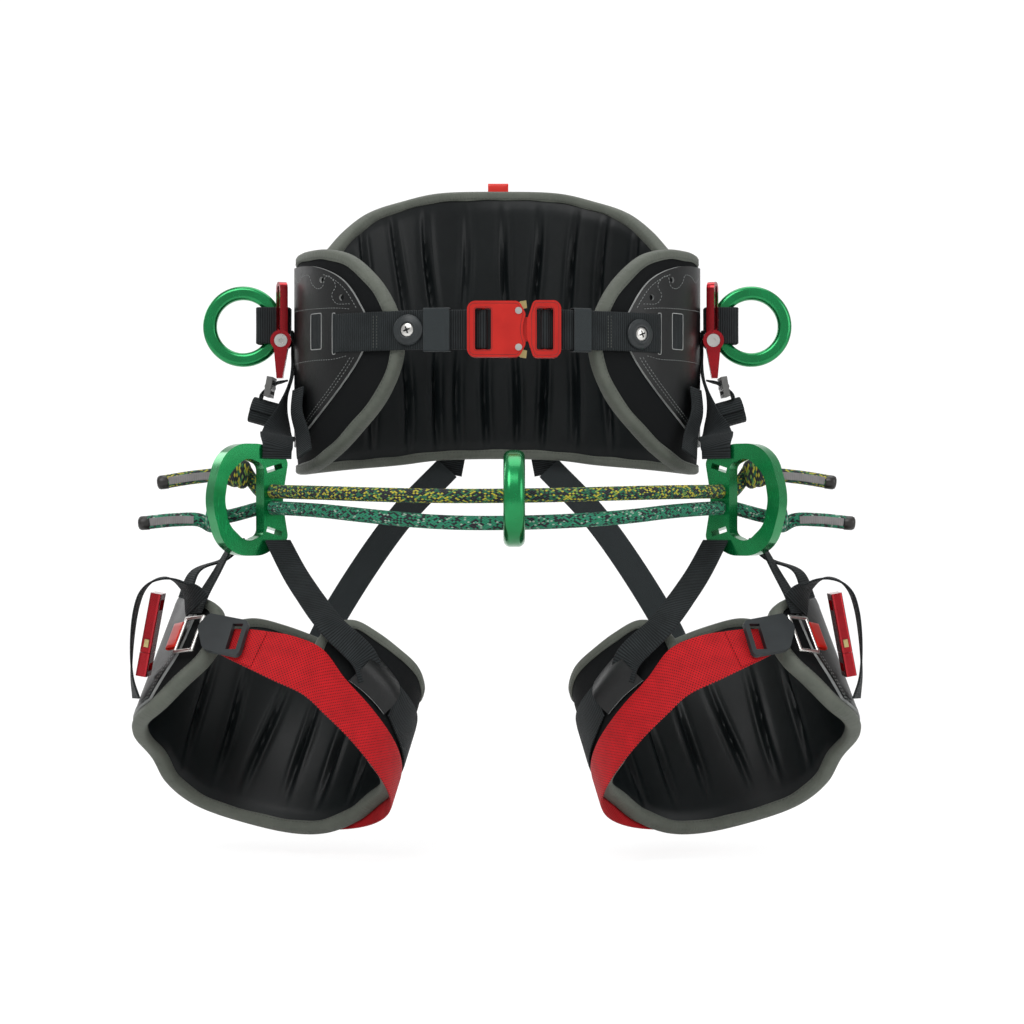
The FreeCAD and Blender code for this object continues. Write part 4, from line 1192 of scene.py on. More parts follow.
# ---- padded bands ---------------------------------------------------------------------------
class Oval:
    """An upright oval tube that can be unrolled: arc is the run round it from its front."""

    def __init__(self, half_x: float, half_y: float, centre: Sequence[float] = (0, 0, 0),
                 axes: Sequence[Sequence[float]] = ((1, 0, 0), (0, 1, 0), (0, 0, 1))) -> None:
        """Set the oval's half axes, centre and outboard, back and upward directions."""
        self.half_x = half_x
        self.half_y = half_y
        self.centre = np.array(centre, float)
        self.out, self.back, self.up = (np.array(axis, float) for axis in axes)
        self.turns = np.linspace(-TAU, 2 * TAU, 7200)
        points = np.stack([half_x * np.sin(self.turns), half_y * np.cos(self.turns)], 1)
        self.arcs = lengths(points)
        self.arcs -= np.interp(0.0, self.turns, self.arcs)
        self.round = float(np.interp(TAU, self.turns, self.arcs))

    def arc(self, x: float, front: bool = True, offset: float = 0.0) -> float:
        """The run to a place seen from the front at this x, from zero round to the start."""
        lean = math.asin(max(-1.0, min(1.0, x / (self.half_x + offset))))
        turn = (lean if lean >= 0 else lean + TAU) if front else math.pi - lean
        return float(np.interp(turn, self.turns, self.arcs))

    def on(self, arc: Points | float, height: Points | float, offset: Points | float) -> Points:
        """Points on the tube, at offsets out from it."""
        arc, height, offset = np.broadcast_arrays(*(np.asarray(v, float) for v in (arc, height, offset)))
        turn = np.interp(arc, self.arcs, self.turns)
        x = ((self.half_x + offset) * np.sin(turn))[..., None]
        y = (-(self.half_y + offset) * np.cos(turn))[..., None]
        return self.centre + x * self.out + y * self.back + height[..., None] * self.up

    def line(self, front: Sequence[tuple[float, float]], back: Sequence[tuple[float, float]] = ()) -> list:
        """Places seen from the front, then from behind, as runs that go round by the inner side."""
        runs = [(self.arc(x) - (self.round if x < 0 else 0.0), z) for x, z in front]
        return runs + [(self.arc(x, False) - self.round, z) for x, z in back]

    def outward(self, arc: Points | float) -> Points:
        """The outward directions at runs round the tube."""
        turn = np.interp(np.asarray(arc, float), self.arcs, self.turns)
        x = (np.sin(turn) / self.half_x)[..., None]
        y = (-np.cos(turn) / self.half_y)[..., None]
        return unit(x * self.out + y * self.back)

    def seat(self, x: float, offset: float, height: float) -> Matrix:
        """The matrix for a piece built about its origin, facing +Z with Y up, set on the tube's front."""
        arc = self.arc(x, True, offset)
        outward = self.outward(arc)
        return frame_matrix(self.on(arc, height, offset), np.cross(self.up, outward), self.up, outward)


def grown(line: Points, distance: float, looped: bool = True) -> Points:
    """A line in a flat plane, moved to the left of its direction."""
    along = directions(line, looped)
    return line + np.stack([-along[:, 1], along[:, 0]], 1) * distance


def eased(value: Points) -> Points:
    """Values from zero to one, eased at both ends."""
    held = np.clip(value, 0, 1)
    return held * held * (3 - 2 * held)


@dataclass(frozen=True)
class Crease:
    """A pressed fold in a lining: its place, height, depth and lean."""

    arc: float
    middle: float
    reach: float
    depth: float
    lean: float = 0.0
    width: float = 5.0

    def relief(self, arc: Points, height: Points) -> Points:
        """How far the fold pushes the lining in, and how far its shoulders stand out."""
        line = self.arc + self.lean * (height - self.middle) + 1.6 * np.sin(height / 31.0 + self.arc)
        away = np.abs(arc - line)
        fade = eased(1 - np.abs(height - self.middle) / self.reach)
        valley = np.exp(-((away / (self.width * 0.72)) ** 2))
        shoulder = np.exp(-(((away - self.width * 1.35) / (self.width * 0.75)) ** 2))
        return fade * self.depth * (valley - 0.42 * shoulder)


@dataclass
class PaddedBand:
    """A padded band on an oval tube, open at the front, with bias tape folded round its whole edge."""

    name: str
    oval: Oval
    inner_wing: Sequence[tuple[float, float]]
    outer_wing: Sequence[tuple[float, float]]
    back_top: Sequence[tuple[float, float]]
    back_bottom: Sequence[tuple[float, float]]
    creases: Sequence[Crease]
    thick: float = 12.0
    tape: float = 10.0
    proud: float = 1.3
    column: float = 1.9
    rows: int = 64

    def __post_init__(self) -> None:
        """Work out the unrolled edge."""
        loop = [(self.oval.arc(x, False), z) for x, z in reversed(self.back_top)]
        loop += [(self.oval.arc(x), z) for x, z in self.inner_wing[1:-1]]
        loop += [(self.oval.arc(x, False), z) for x, z in reversed(self.back_bottom)]
        loop += [(self.oval.arc(x), z) for x, z in list(reversed(self.outer_wing))[1:-1]]
        self.edge = smooth(loop, 3.0, closed=True)
        first = int(np.argmin(self.edge[:, 0]))
        rolled = np.roll(self.edge, -first, 0)
        last = int(np.argmax(rolled[:, 0]))
        self.top = rolled[:last + 1]
        self.bottom = np.concatenate([rolled[last:], rolled[:1]])[::-1]

    def heights(self, arcs: Points) -> tuple[Points, Points]:
        """The band's lower and upper edge at runs round it."""
        found = []
        for line in (self.bottom, self.top):
            run = np.maximum.accumulate(line[:, 0] + np.arange(len(line)) * 1e-6)
            found.append(np.interp(arcs, run, line[:, 1]))
        return found[0], found[1]

    def pad(self) -> bpy.types.Object:
        """The filled pad: lining inside, cloth outside."""
        start, end = self.top[0, 0] + 4.0, self.top[-1, 0] - 4.0
        arcs = np.linspace(start, end, int((end - start) / self.column))
        low, high = self.heights(arcs)
        low, high = low + 4.0, high - 4.0
        share = np.linspace(0, 1, self.rows)
        heights = low[:, None] + (high - low)[:, None] * share[None]
        runs = np.repeat(arcs[:, None], self.rows, 1)
        near = np.minimum(np.minimum(heights - low[:, None], high[:, None] - heights),
                          np.minimum(runs - start, end - runs))
        plump = eased(near / 18.0)
        inside = -self.thick + 1.6 - 2.6 * plump
        for crease in self.creases:
            inside = inside + crease.relief(runs, heights) * eased((near - 3) / 14.0)
        ripple = 0.5 * np.sin(runs / 21.0 + heights / 37.0) * plump
        outside = -1.2 + 1.0 * plump
        outer = self.oval.on(runs, heights, outside)
        inner = self.oval.on(runs, heights, inside + ripple)
        rings = np.concatenate([outer, inner[:, ::-1]], 1)
        skin = Skin(rings, kinds=lambda i, j: 1 if j < self.rows - 1 else 0)
        return skin.build(self.name + "_pad", [Slot.LINING, Extra.FACE])

    def section(self) -> Points:
        """The tape's folded section: in from the edge, and out from the pad's middle."""
        half = self.thick / 2 + self.proud
        wide = self.tape
        outer = [(wide, half - 1.1), (wide - 0.8, half - 0.35), (wide * 0.6, half - 0.05),
                 (wide * 0.3, half),
                 (1.6, half - 0.8), (0.4, half - 2.8), (0.0, half - 5.2)]
        inner = [(wide, half - 1.9), (wide * 0.5, half - 1.3), (2.4, half - 2.0), (1.3, half - 4.2)]
        points = outer + [(x, -y) for x, y in reversed(outer)] + [(x, -y) for x, y in inner]
        points += list(reversed(inner))
        return np.array(points)

    def binding(self) -> bpy.types.Object:
        """The tape folded round the edge."""
        along = directions(self.edge, True)
        inward = np.stack([along[:, 1], -along[:, 0]], 1)
        section = self.section()
        run = lengths(np.concatenate([self.edge, self.edge[:1]]))
        wave = 1 + 0.035 * np.sin(run[:-1] / 7.3) + 0.03 * np.sin(run[:-1] / 17.9 + 1)
        arcs = self.edge[:, None, 0] + inward[:, None, 0] * section[None, :, 0] * wave[:, None]
        heights = self.edge[:, None, 1] + inward[:, None, 1] * section[None, :, 0] * wave[:, None]
        offsets = np.broadcast_to(section[None, :, 1] - self.thick / 2, arcs.shape)
        rings = self.oval.on(arcs, heights, offsets)
        girth = lengths(np.concatenate([section, section[:1]]))
        marks = np.zeros((len(run), len(girth), 3))
        marks[:, :, 0] = girth[None]
        marks[:, :, 1] = run[:, None]
        return Skin(rings, marks, looped=True).build(self.name + "_tape", [Slot.BINDING])

    def tape_stitches(self) -> bpy.types.Object:
        """The dark stitching along the tape's inner edge, on both faces."""
        rows = []
        closed = np.concatenate([self.edge, self.edge[:1]])
        line = grown(closed, 2.0 - self.tape)
        for offset, sign in ((self.proud + 0.02, 1), (-self.thick - self.proud - 0.02, -1)):
            rows.append((self.oval.on(line[:, 0], line[:, 1], offset), self.oval.outward(line[:, 0]) * sign))
        return stitching(self.name + "_tape_stitches", Extra.THREAD, rows, 2.4, 1.5, 0.6, 0.22)


def band(name: str, kinds: Sequence[Enum], oval: Oval, upper: Sequence[tuple[float, float]],
         lower: Sequence[tuple[float, float]], inside: float, outside: float, step: float = 3.0,
         edge_kind: bool = False, crown: float = 0.0) -> bpy.types.Object:
    """Webbing or leather wound on an oval, between two unrolled lines.

    Args:
        name: the piece's name.
        kinds: its finishes, its cut edge second where it has one.
        oval: what it is wound on.
        upper: its upper line, in runs and heights.
        lower: its lower line, from the same end.
        inside: its inner face's offset.
        outside: its outer face's offset.
        step: the distance between its rings.
        edge_kind: whether its rim takes the second finish.
        crown: how far its middle stands proud of its edges.

    Returns:
        The band.
    """
    first, second = smooth(upper, step), smooth(lower, step)
    count = max(len(first), len(second))
    shares = np.linspace(0, 1, count)
    lines = []
    for line in (first, second):
        run = lengths(line) / lengths(line)[-1]
        lines.append(np.stack([np.interp(shares, run, line[:, k]) for k in range(2)], 1))
    across = np.linspace(0, 1, 11)
    rim = (outside - inside) / 2
    flat = lines[0][:, None] + (lines[1] - lines[0])[:, None] * across[None, :, None]
    arch = crown * np.sin(across * math.pi)
    soft = np.where((across == 0) | (across == 1), 0.35 * rim, 0.0)
    outer = oval.on(flat[..., 0], flat[..., 1], outside - soft + arch)
    inner = oval.on(flat[..., 0], flat[..., 1], inside + soft + arch * 0.8)[:, ::-1]
    rings = np.concatenate([outer, inner], 1)
    width = float(np.linalg.norm(lines[0][count // 2] - lines[1][count // 2]))
    places = np.concatenate([across * width, across[::-1] * width, [0.0]])
    run = lengths(flat[:, 5])
    marks = np.zeros((count, len(places), 3))
    marks[:, :, 0] = places[None]
    marks[:, :, 1] = run[:, None]
    rims = {10, 21}
    return Skin(rings, marks, kinds=lambda i, j: int(edge_kind and j in rims)).build(name, kinds)


# ---- the waist belt -------------------------------------------------------------------------
WAIST = Oval(204.0, 142.0)
WAIST_WING = ((204, 84), (190, 85.5), (168, 84), (146, 76), (120, 53), (104, 29), (94, 2), (93, -15),
              (97, -36), (112, -67), (136, -95), (162, -119), (186, -134), (204, -137))
WAIST_TOP = ((-204, 84), (-191, 86), (-180, 101), (-165, 121), (-140, 143), (-106, 157), (-68, 167),
             (0, 170),
             (68, 167), (106, 157), (140, 143), (165, 121), (180, 101), (191, 86), (204, 84))
WAIST_BOTTOM = ((204, -137), (148, -129), (107, -125), (68, -120), (0, -118),
                (-68, -120), (-107, -125), (-148, -129), (-204, -137))
SCREWS = ((-84.0, 0.0), (139.0, -2.0))


def waist_creases() -> list[Crease]:
    """The folds pressed into the back's lining, a tall row above and a tall row below."""
    folds = []
    upper = ((-150, 3.2, 0.10), (-112, 3.8, 0.14), (-78, 4.6, 0.10), (-38, 3.0, -0.03), (8, 3.8, 0.05),
             (44, 4.6, -0.05), (84, 4.2, -0.12), (118, 3.6, -0.10), (152, 3.0, -0.16))
    lower = ((-140, 3.2, -0.04), (-104, 4.6, 0.02), (-70, 5.0, 0.0), (-46, 3.2, 0.01), (-14, 4.2, 0.0),
             (20, 3.4, 0.02), (52, 4.8, -0.01), (88, 3.8, 0.03), (126, 3.4, 0.05))
    for x, depth, lean in upper:
        folds.append(Crease(WAIST.arc(x, False), 82, 84, depth, lean, 4.6))
    for x, depth, lean in lower:
        folds.append(Crease(WAIST.arc(x, False), -52, 74, depth, lean, 4.2))
    return folds


@dataclass(frozen=True)
class WaistBelt:
    """The waist belt: pad, leather side plates, lumbar webbing and tab."""

    leather_edge: tuple = ((206, 72), (178, 67), (151, 52), (134, 28), (124, 2), (133, -22),
                           (153, -51), (177, -79), (194, -97), (206, -109))
    leather_thick: float = 2.8
    leather_back: float = 45.0
    slot_x: float = 160.0
    window_x: float = 179.0
    holes: tuple = ((172.0, 54.0), (151.0, 35.0))
    hole_radius: float = 3.0

    def build(self) -> None:
        """Build and dress every piece of the belt."""
        belt = PaddedBand("waist", WAIST, [(-x, z) for x, z in WAIST_WING], WAIST_WING, WAIST_TOP,
                          WAIST_BOTTOM, waist_creases())
        pad = belt.pad()
        ride(pad, "waist_belt", Slot.LINING, "back_pad")
        ride(belt.binding(), "waist_belt", Slot.BINDING, "back_binding")
        ride(belt.tape_stitches(), "waist_belt", Slot.BINDING)
        leather = self.leather()
        ride(leather, "waist_belt", Slot.LEATHER, "wing_leather_right")
        ride(mirrored(leather, "wing_leather_plate_left"), "waist_belt", Slot.LEATHER, "wing_leather_left")
        threads = self.leather_stitches()
        ride(threads, "waist_belt", Slot.LEATHER)
        ride(mirrored(threads, "wing_stitches_left"), "waist_belt", Slot.LEATHER)
        patch = self.window_webbing()
        ride(patch, "waist_belt", Slot.WEBBING)
        ride(mirrored(patch, "window_webbing_left"), "waist_belt", Slot.WEBBING)
        ride(self.lumbar(), "waist_belt", Slot.WEBBING, "lumbar_webbing")
        ride(self.tab(), "waist_belt", Slot.RED_RIBBON, "top_tab")

    def edge(self) -> Points:
        """The leather's front edge, unrolled, from its top to its bottom."""
        return smooth([(WAIST.arc(min(x, 206.7), True, self.leather_thick), z) for x,
                       z in self.leather_edge], 2.5)

    def back_arc(self) -> float:
        """The run to the leather's back end."""
        turn = math.acos(-self.leather_back / WAIST.half_y)
        return float(np.interp(turn, WAIST.turns, WAIST.arcs))

    def leather(self) -> bpy.types.Object:
        """The side plate over the pad, with its window, strap slot and holes."""
        edge = self.edge()
        nose = int(np.argmin(edge[:, 0]))
        top, bottom = edge[:nose + 1][::-1], edge[nose:]
        near = edge[nose, 0] + np.array([0.25, 0.8, 1.7, 3.0, 4.7, 7.0])
        arcs = np.concatenate([near, np.linspace(near[-1] + 3, self.back_arc(), 44)])
        high = np.interp(arcs, top[:, 0], top[:, 1])
        low = np.interp(arcs, bottom[:, 0], bottom[:, 1])
        share = np.linspace(0, 1, 30)
        heights = low[:, None] + (high - low)[:, None] * share[None]
        runs = np.repeat(arcs[:, None], len(share), 1)
        outer = WAIST.on(runs, heights, self.leather_thick)
        inner = WAIST.on(runs, heights, 0.15)
        rings = np.concatenate([outer, inner[:, ::-1]], 1)
        plate_piece = Skin(rings).build("wing_leather_plate_right", [Slot.LEATHER, Extra.EDGE])
        cutters = [block("window", Slot.LEATHER, (11 * MM, 0.12, 35 * MM),
                         (self.window_x * MM, -0.08, 3.5 * MM)),
                   block("slot", Slot.LEATHER, (2.6 * MM, 0.12, 40 * MM), (self.slot_x * MM, -0.08, 0))]
        for x, z in self.holes:
            pin = lathe("hole", Slot.LEATHER,
                        [(0.01, -6), (self.hole_radius, -6), (self.hole_radius, 6), (0.01, 6)], 24)
            cutters.append(moved(pin, WAIST.seat(x, self.leather_thick / 2, z)))
        cut(plate_piece, cutters)
        self.pale_edges(plate_piece, WAIST)
        rims = [self.rim(self.window_x, 3.5, 5.7, 17.7), self.rim(self.slot_x, 0, 1.5, 20.2)]
        return joined("wing_leather_plate_right", [plate_piece, *rims])

    def rim(self, x: float, z: float, half_width: float, half_height: float) -> bpy.types.Object:
        """The pale cut edge round an opening."""
        corners = rounded([(x - half_width, z - half_height, 1.2), (x + half_width, z - half_height, 1.2),
                           (x + half_width, z + half_height, 1.2), (x - half_width, z + half_height, 1.2)],
                           4)
        flat = smooth([(WAIST.arc(a, True, self.leather_thick), b) for a, b in corners], 1.5, closed=True)
        return rod("rim", Extra.EDGE, WAIST.on(flat[:, 0], flat[:, 1], self.leather_thick - 0.15), 0.45,
                   True, 8)

    @staticmethod
    def pale_edges(piece: bpy.types.Object, oval: Oval) -> None:
        """Give the faces that stand on a piece's cut edges the pale finish."""
        for face in piece.data.polygons:
            local = np.array(face.center) / MM - oval.centre
            turn = math.atan2(np.dot(local, oval.out) / oval.half_x, -np.dot(local, oval.back) / oval.half_y)
            arc = np.interp(turn % TAU, oval.turns, oval.arcs)
            if abs(float(np.dot(oval.outward(arc), np.array(face.normal)))) < 0.6:
                face.material_index = 1

    def leather_stitches(self) -> bpy.types.Object:
        """The rows of thread on the leather: along its edge, above and below the strap, and the scallops."""
        proud = self.leather_thick + 0.05
        rows = []
        edge = self.edge()
        for inset in (5.0, 8.5):
            line = grown(edge, inset, False)
            kept = line[(np.abs(line[:, 1]) > 22) & (line[:, 1] < 60 if inset < 6 else line[:, 1] < 0)]
            for part in (kept[kept[:, 1] > 0], kept[kept[:, 1] < 0]):
                if len(part) > 3:
                    rows.append((WAIST.on(part[:, 0], part[:, 1], proud), WAIST.outward(part[:, 0])))
        scallops = ((204, 62), (199, 55), (194, 60), (187, 60), (184, 52), (178, 46), (172, 47), (169, 56),
                    (165, 57), (158, 47), (162, 38), (158, 30), (143, 28))
        for line in (((205, 27), (180, 26), (158, 25), (142, 23)),
                     ((205, -26), (180, -25), (160, -25), (145, -22)),
                     scallops, ((206.5, -58), (201, -66), (196, -78), (194, -90))):
            flat = smooth([(WAIST.arc(x, True, proud), z) for x, z in line], 2.0)
            rows.append((WAIST.on(flat[:, 0], flat[:, 1], proud), WAIST.outward(flat[:, 0])))
        return stitching("wing_stitches_right", Extra.PALE_THREAD, rows, 2.2, 1.5, 0.6, 0.3)

    def window_webbing(self) -> bpy.types.Object:
        """The webbing that shows through the leather's window."""
        stations = []
        for x in (171.5, 176, 181, 186.5):
            arc = WAIST.arc(x, True, 1.4)
            stations.append((WAIST.on(arc, 3.5, 1.5), WAIST.up))
        return Strap(38.0, 1.8).build("window_webbing_right", Slot.WEBBING, stations, 1.5)

    def lumbar(self) -> bpy.types.Object:
        """The load webbing round the outside of the back."""
        start = self.back_arc() + 1.2
        end = 2 * WAIST.arc(0.0, False) - start
        upper = [(arc, 22.0) for arc in np.linspace(start, end, 24)]
        lower = [(arc, -22.0) for arc in np.linspace(start, end, 24)]
        return band("lumbar_band", [Slot.WEBBING], WAIST, upper, lower, 0.05, 2.2, 4.0)

    def tab(self) -> bpy.types.Object:
        """The small folded tab at the top of the back."""
        y = WAIST.half_y + 3.0
        path = [(0, y - 1.0, 157.5), (0, y - 1.1, 170), (0, y - 0.9, 178.5), (0, y, 179.8),
                (0, y + 0.9, 178.5),
                (0, y + 1.1, 170), (0, y + 1.0, 157.5)]
        return Strap(22.0, 0.9).build("pull_tab", Slot.RED_RIBBON, [(point, (1, 0, 0)) for point in path],
                                      1.5)


# ---- front straps, keepers, washers and screws ----------------------------------------------
@dataclass(frozen=True)
class FrontStraps:
    """The front strap's two halves, with their keepers and strap screws."""

    web: Strap = Strap(38.0, 2.2)
    offset: float = 4.2
    buckle_y: float = -146.0
    fold: float = 3.25

    def build(self) -> None:
        """Build and dress the straps and what sits on them."""
        ride(self.half("front_webbing_left", -1, -12.5), "waist_belt", Slot.WEBBING, "front_strap_left")
        right = self.half("front_webbing_right", 1, 46.5)
        settle(right, Slot.WEBBING, "front_strap_right")
        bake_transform(right)
        keepers = joined("strap_loops", [self.keeper(-1, 57, -140.2, 9.0, 13, 4.2),
                                         self.keeper(1, 81, -134.6, 21.0, 9, 5.2)])
        ride(keepers, "waist_belt", Slot.ELASTIC, "strap_keepers")
        for place, (x, z) in zip(("left", "right"), SCREWS):
            ride(self.washer("cup_washer_" + place, x, z), "waist_belt", Slot.PLASTIC,
                 *(("cup_washers",) if place == "left" else ()))
            ride(self.screw("strap_screw_" + place, x, z), "waist_belt", Slot.STEEL,
                 *(("strap_screws",) if place == "left" else ()))
        bars = self.bar_stitches()
        ride(bars, "waist_belt", Slot.WEBBING)

    def line(self, side: int, pin_x: float) -> list[tuple[float, float]]:
        """The strap's route seen from above, from its slot round its pin and back."""
        def by_pin(inboard: float, back: float) -> tuple[float, float]:
            """A place beside the pin."""
            return pin_x - side * inboard, self.buckle_y + back

        route = []
        for x in (160.0, 148.0, 134.0, 120.0, 108.0):
            point = WAIST.on(WAIST.arc(side * x, True, self.offset), 0, self.offset)
            route.append((float(point[0]), float(point[1])))
        route += [(side * 90, -133.6), (side * 76, -138.9)]
        far = abs(side * 76 - pin_x) > 50
        if far:
            route.append((side * 56, -142.5))
        route += [by_pin(-22, 2.6), by_pin(-15, 2.0), by_pin(-7.5, 0.3)]
        for degrees in range(-120, 91, 35):
            angle = math.radians(degrees)
            route.append(by_pin(self.fold * math.cos(angle), self.fold * math.sin(angle)))
        route += [by_pin(-8, 5.0), by_pin(-22, 6.2)]
        if far:
            route.append((side * 56, -138.9))
        return route + [(side * 74, -135.0), (side * 89, -130.4)]

    def half(self, name: str, side: int, pin_x: float) -> bpy.types.Object:
        """One half of the front strap."""
        stations = [((x, y, 0), (0, 0, 1)) for x, y in self.line(side, pin_x)]
        return self.web.build(name, Slot.WEBBING, stations, 1.6)

    def keeper(self, side: int, x: float, y: float, slope: float, half_width: float,
               half_gap: float) -> bpy.types.Object:
        """A closed elastic loop round both layers of the strap."""
        out, high = half_gap + 0.5, 20.6
        corners = rounded([(-out, -high, 1.6), (out, -high, 1.6), (out, high, 1.6), (-out, high, 1.6)], 5)
        lean = math.radians(side * slope)
        along = np.array((math.cos(lean), math.sin(lean), 0.0))
        normal = np.array((-math.sin(lean), math.cos(lean), 0.0))
        centre = np.array((side * x, y, 0.0))
        stations = [(centre + normal * a + np.array((0, 0, b)), along) for a, b in corners]
        rows = [stations[index] for index in range(0, len(stations))]
        return Strap(2 * half_width, 0.95).skin(rows, 2.0, looped=True).build("keeper", [Slot.ELASTIC])

    @staticmethod
    def seat(x: float, z: float) -> Matrix:
        """The place of a washer or screw on the strap's outer face."""
        lift = 3.2 if abs(x) < 100 else 0.4
        outward = WAIST.outward(WAIST.arc(x))
        place = WAIST.on(WAIST.arc(x, True, 5.3), z, 5.3) + outward * lift
        return frame_matrix(place, np.cross(WAIST.up, outward), WAIST.up, outward)

    def washer(self, name: str, x: float, z: float) -> bpy.types.Object:
        """A domed cup washer."""
        profile = [(6.9, 0.3), (6.9, 3.9), (7.4, 4.35), (8.6, 4.4), (9.8, 3.9), (10.6, 3.1), (12.6, 2.6),
                   (14.2, 1.9), (14.9, 1.0), (14.9, 0.3), (14.4, 0.05), (7.4, 0.05)]
        return moved(lathe(name, Slot.PLASTIC, profile, 72, looped=True), self.seat(x, z))

    def screw(self, name: str, x: float, z: float) -> bpy.types.Object:
        """A bright domed screw with a cross recess, with dark plates in the recess as painted shade."""
        dome = [(6.7 * math.sin(a), 3.2 + 1.7 * (math.cos(a) - math.cos(1.25)) / (1 - math.cos(1.25)))
                for a in np.linspace(0.02, 1.25, 9)]
        scale = 6.7 / dome[-1][0]
        profile = [(r * scale, h) for r, h in dome] + [(6.75, 2.8), (6.7, 0.9), (2.6, 0.85), (2.6, -3.6),
                                                       (0.05, -3.7)]
        head = lathe(name, Slot.STEEL, profile, 48)
        cross = [plate("bar", Slot.STEEL, rounded([(-3.6, -0.75, 0.5), (3.6, -0.75, 0.5), (3.6, 0.75, 0.5),
                                                   (-3.6, 0.75, 0.5)], 4), [], 4.0, 0.1,
                                                   1) for _ in range(2)]
        for turn, bar in zip((20, 110), cross):
            moved(bar, Matrix.Translation((0, 0, 5.4)) @ ball_turn("Z", turn))
        point = lathe("point", Slot.STEEL, [(0.02, 2.2), (1.9, 5.4), (0.02, 5.5)], 16)
        # Dark plates in the cross recess: painted shade where the recess falls into shadow.
        recess = [plate("recess", Extra.DARK, [(-3.4, -0.62), (3.4, -0.62), (3.4, 0.62), (-3.4, 0.62)], [],
                        0.3, 0.05, 1)
                  for _ in range(2)]
        for turn, bar in zip((20, 110), recess):
            moved(bar, Matrix.Translation((0, 0, 3.75)) @ ball_turn("Z", turn))
        return moved(joined(name, [cut(head, [*cross, point]), *recess]), self.seat(x, z))

    def bar_stitches(self) -> bpy.types.Object:
        """The bar tacks across the straps."""
        rows = []
        for side, x in ((-1, 116.0), (-1, 119.5), (1, 108.0), (1, 111.0)):
            offset = self.offset + 1.12
            arc = WAIST.arc(side * x, True, offset)
            heights = np.linspace(-17, 17, 30)
            path = WAIST.on(np.full(30, arc), heights, offset)
            rows.append((path, np.repeat(WAIST.outward(arc)[None], 30, 0)))
        return stitching("strap_tacks", Extra.THREAD, rows, 2.0, 0.9, 0.7, 0.3)


# ---- metal pieces ---------------------------------------------------------------------------
@dataclass(frozen=True)
class Hardware:
    """The metal and moulded pieces whose turned and milled shapes stand as they are."""

    finishes: tuple = (
        ("buckle_frame", Slot.BUCKLE_RED), ("buckle_tongue", Slot.BUCKLE_RED), ("buckle_rivets", Slot.STEEL),
        ("buckle_latch_upper", Slot.BRASS), ("buckle_latch_lower", Slot.BRASS),
        ("bracket_screws", Slot.STEEL),
        ("riser_adjusters", Extra.DULL_STEEL), ("bridge_ring", Slot.GREEN),
    )
    sided: tuple = (
        ("side_ring", Slot.GREEN), ("side_bracket", Slot.BRACKET_RED), ("bridge_d", Slot.GREEN),
        ("leg_hook", Slot.PLASTIC), ("leg_wire_ring", Slot.STEEL), ("leg_buckle_frame", Slot.BRACKET_RED),
        ("leg_buckle_latch", Slot.BRASS), ("leg_buckle_tongue", Slot.BRACKET_RED),
    )

    def build(self) -> None:
        """Give each piece its finish and smooth shading up to its edges."""
        rows = list(self.finishes)
        rows += [(f"{name}_{side.value}", slot) for name, slot in self.sided for side in Side]
        for name, slot in rows:
            self.dress(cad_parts[name], slot)
        self.engraving()

    @staticmethod
    def dress(piece: bpy.types.Object, slot: Slot) -> None:
        """Put one finish on a piece's slots."""
        if not piece.material_slots:
            piece.data.materials.append(None)
        for place in piece.material_slots:
            place.link = "OBJECT"
            place.material = finish(slot)
        edges = piece.modifiers.new("soft_edges", "BEVEL")
        edges.width = 0.003 if piece.name.startswith("bridge_d") else 0.0006
        edges.width = 0.0012 if piece.name.startswith(("side_bracket", "leg_")) else edges.width
        edges.segments = 4
        edges.limit_method = "ANGLE"
        edges.angle_limit = math.radians(40)
        LOG.info("%s: kept, %s", piece.name, slot.value)

    def engraving(self) -> None:
        """The fine lines cut into the two halves of the front buckle, drawn as thin dark red rods: painted
        shade in the grooves.
        """
        frame_line = ((-28, -26.8, 8), (22, -26.8, 7), (28.4, -14, 6), (23.5, 0, 30), (28.4, 14, 6),
                      (22, 26.8, 7), (-28, 26.8, 8))
        tongue_line = ((62, -27.4, 8), (62, 27.4, 8), (35.5, 27.4, 5), (31.5, 15, 5), (31.5, -15, 5),
                       (35.5, -27.4, 5))
        slots = (((-20.5, -20, 2), (-5, -20, 2), (-5, 20, 2), (-20.5, 20, 2)),
                 ((38.5, -20, 2), (54.5, -20, 2), (54.5, 20, 2), (38.5, 20, 2)))
        for body, outline, slot_line in (("waist_belt", frame_line, slots[0]),
                                         ("buckle_tongue", tongue_line, slots[1])):
            lines = []
            for corners, inset in ((outline, 2.3), (slot_line, -0.9)):
                points = np.array(rounded(corners, 8))
                if clockwise([tuple(point) for point in points]):
                    points = points[::-1]
                inner = smooth(grown(points, inset), 1.0, closed=True)
                path = np.stack([inner[:, 0], np.full(len(inner), -153.02), inner[:, 1]], 1)
                # The rods' dark red is painted shade in the grooves.
                lines.append(rod("line", Extra.GROOVE, path, 0.26, True, 6))
            ride(joined(f"{body}_buckle_lines", lines), body, Slot.BUCKLE_RED)


# ---- webbing at the sides -------------------------------------------------------------------
D_CENTRE = np.array((242.0, -110.0, -163.0))
D_OUT = np.array((math.cos(math.radians(40)), -math.sin(math.radians(40)), 0.0))
D_BACK = np.array((math.sin(math.radians(40)), math.cos(math.radians(40)), 0.0))


def d_point(out: float, back: float, z: float) -> Points:
    """A place in the D's frame, at a height in the saddle's."""
    place = D_CENTRE + D_OUT * out + D_BACK * back
    return np.array((place[0], place[1], z))


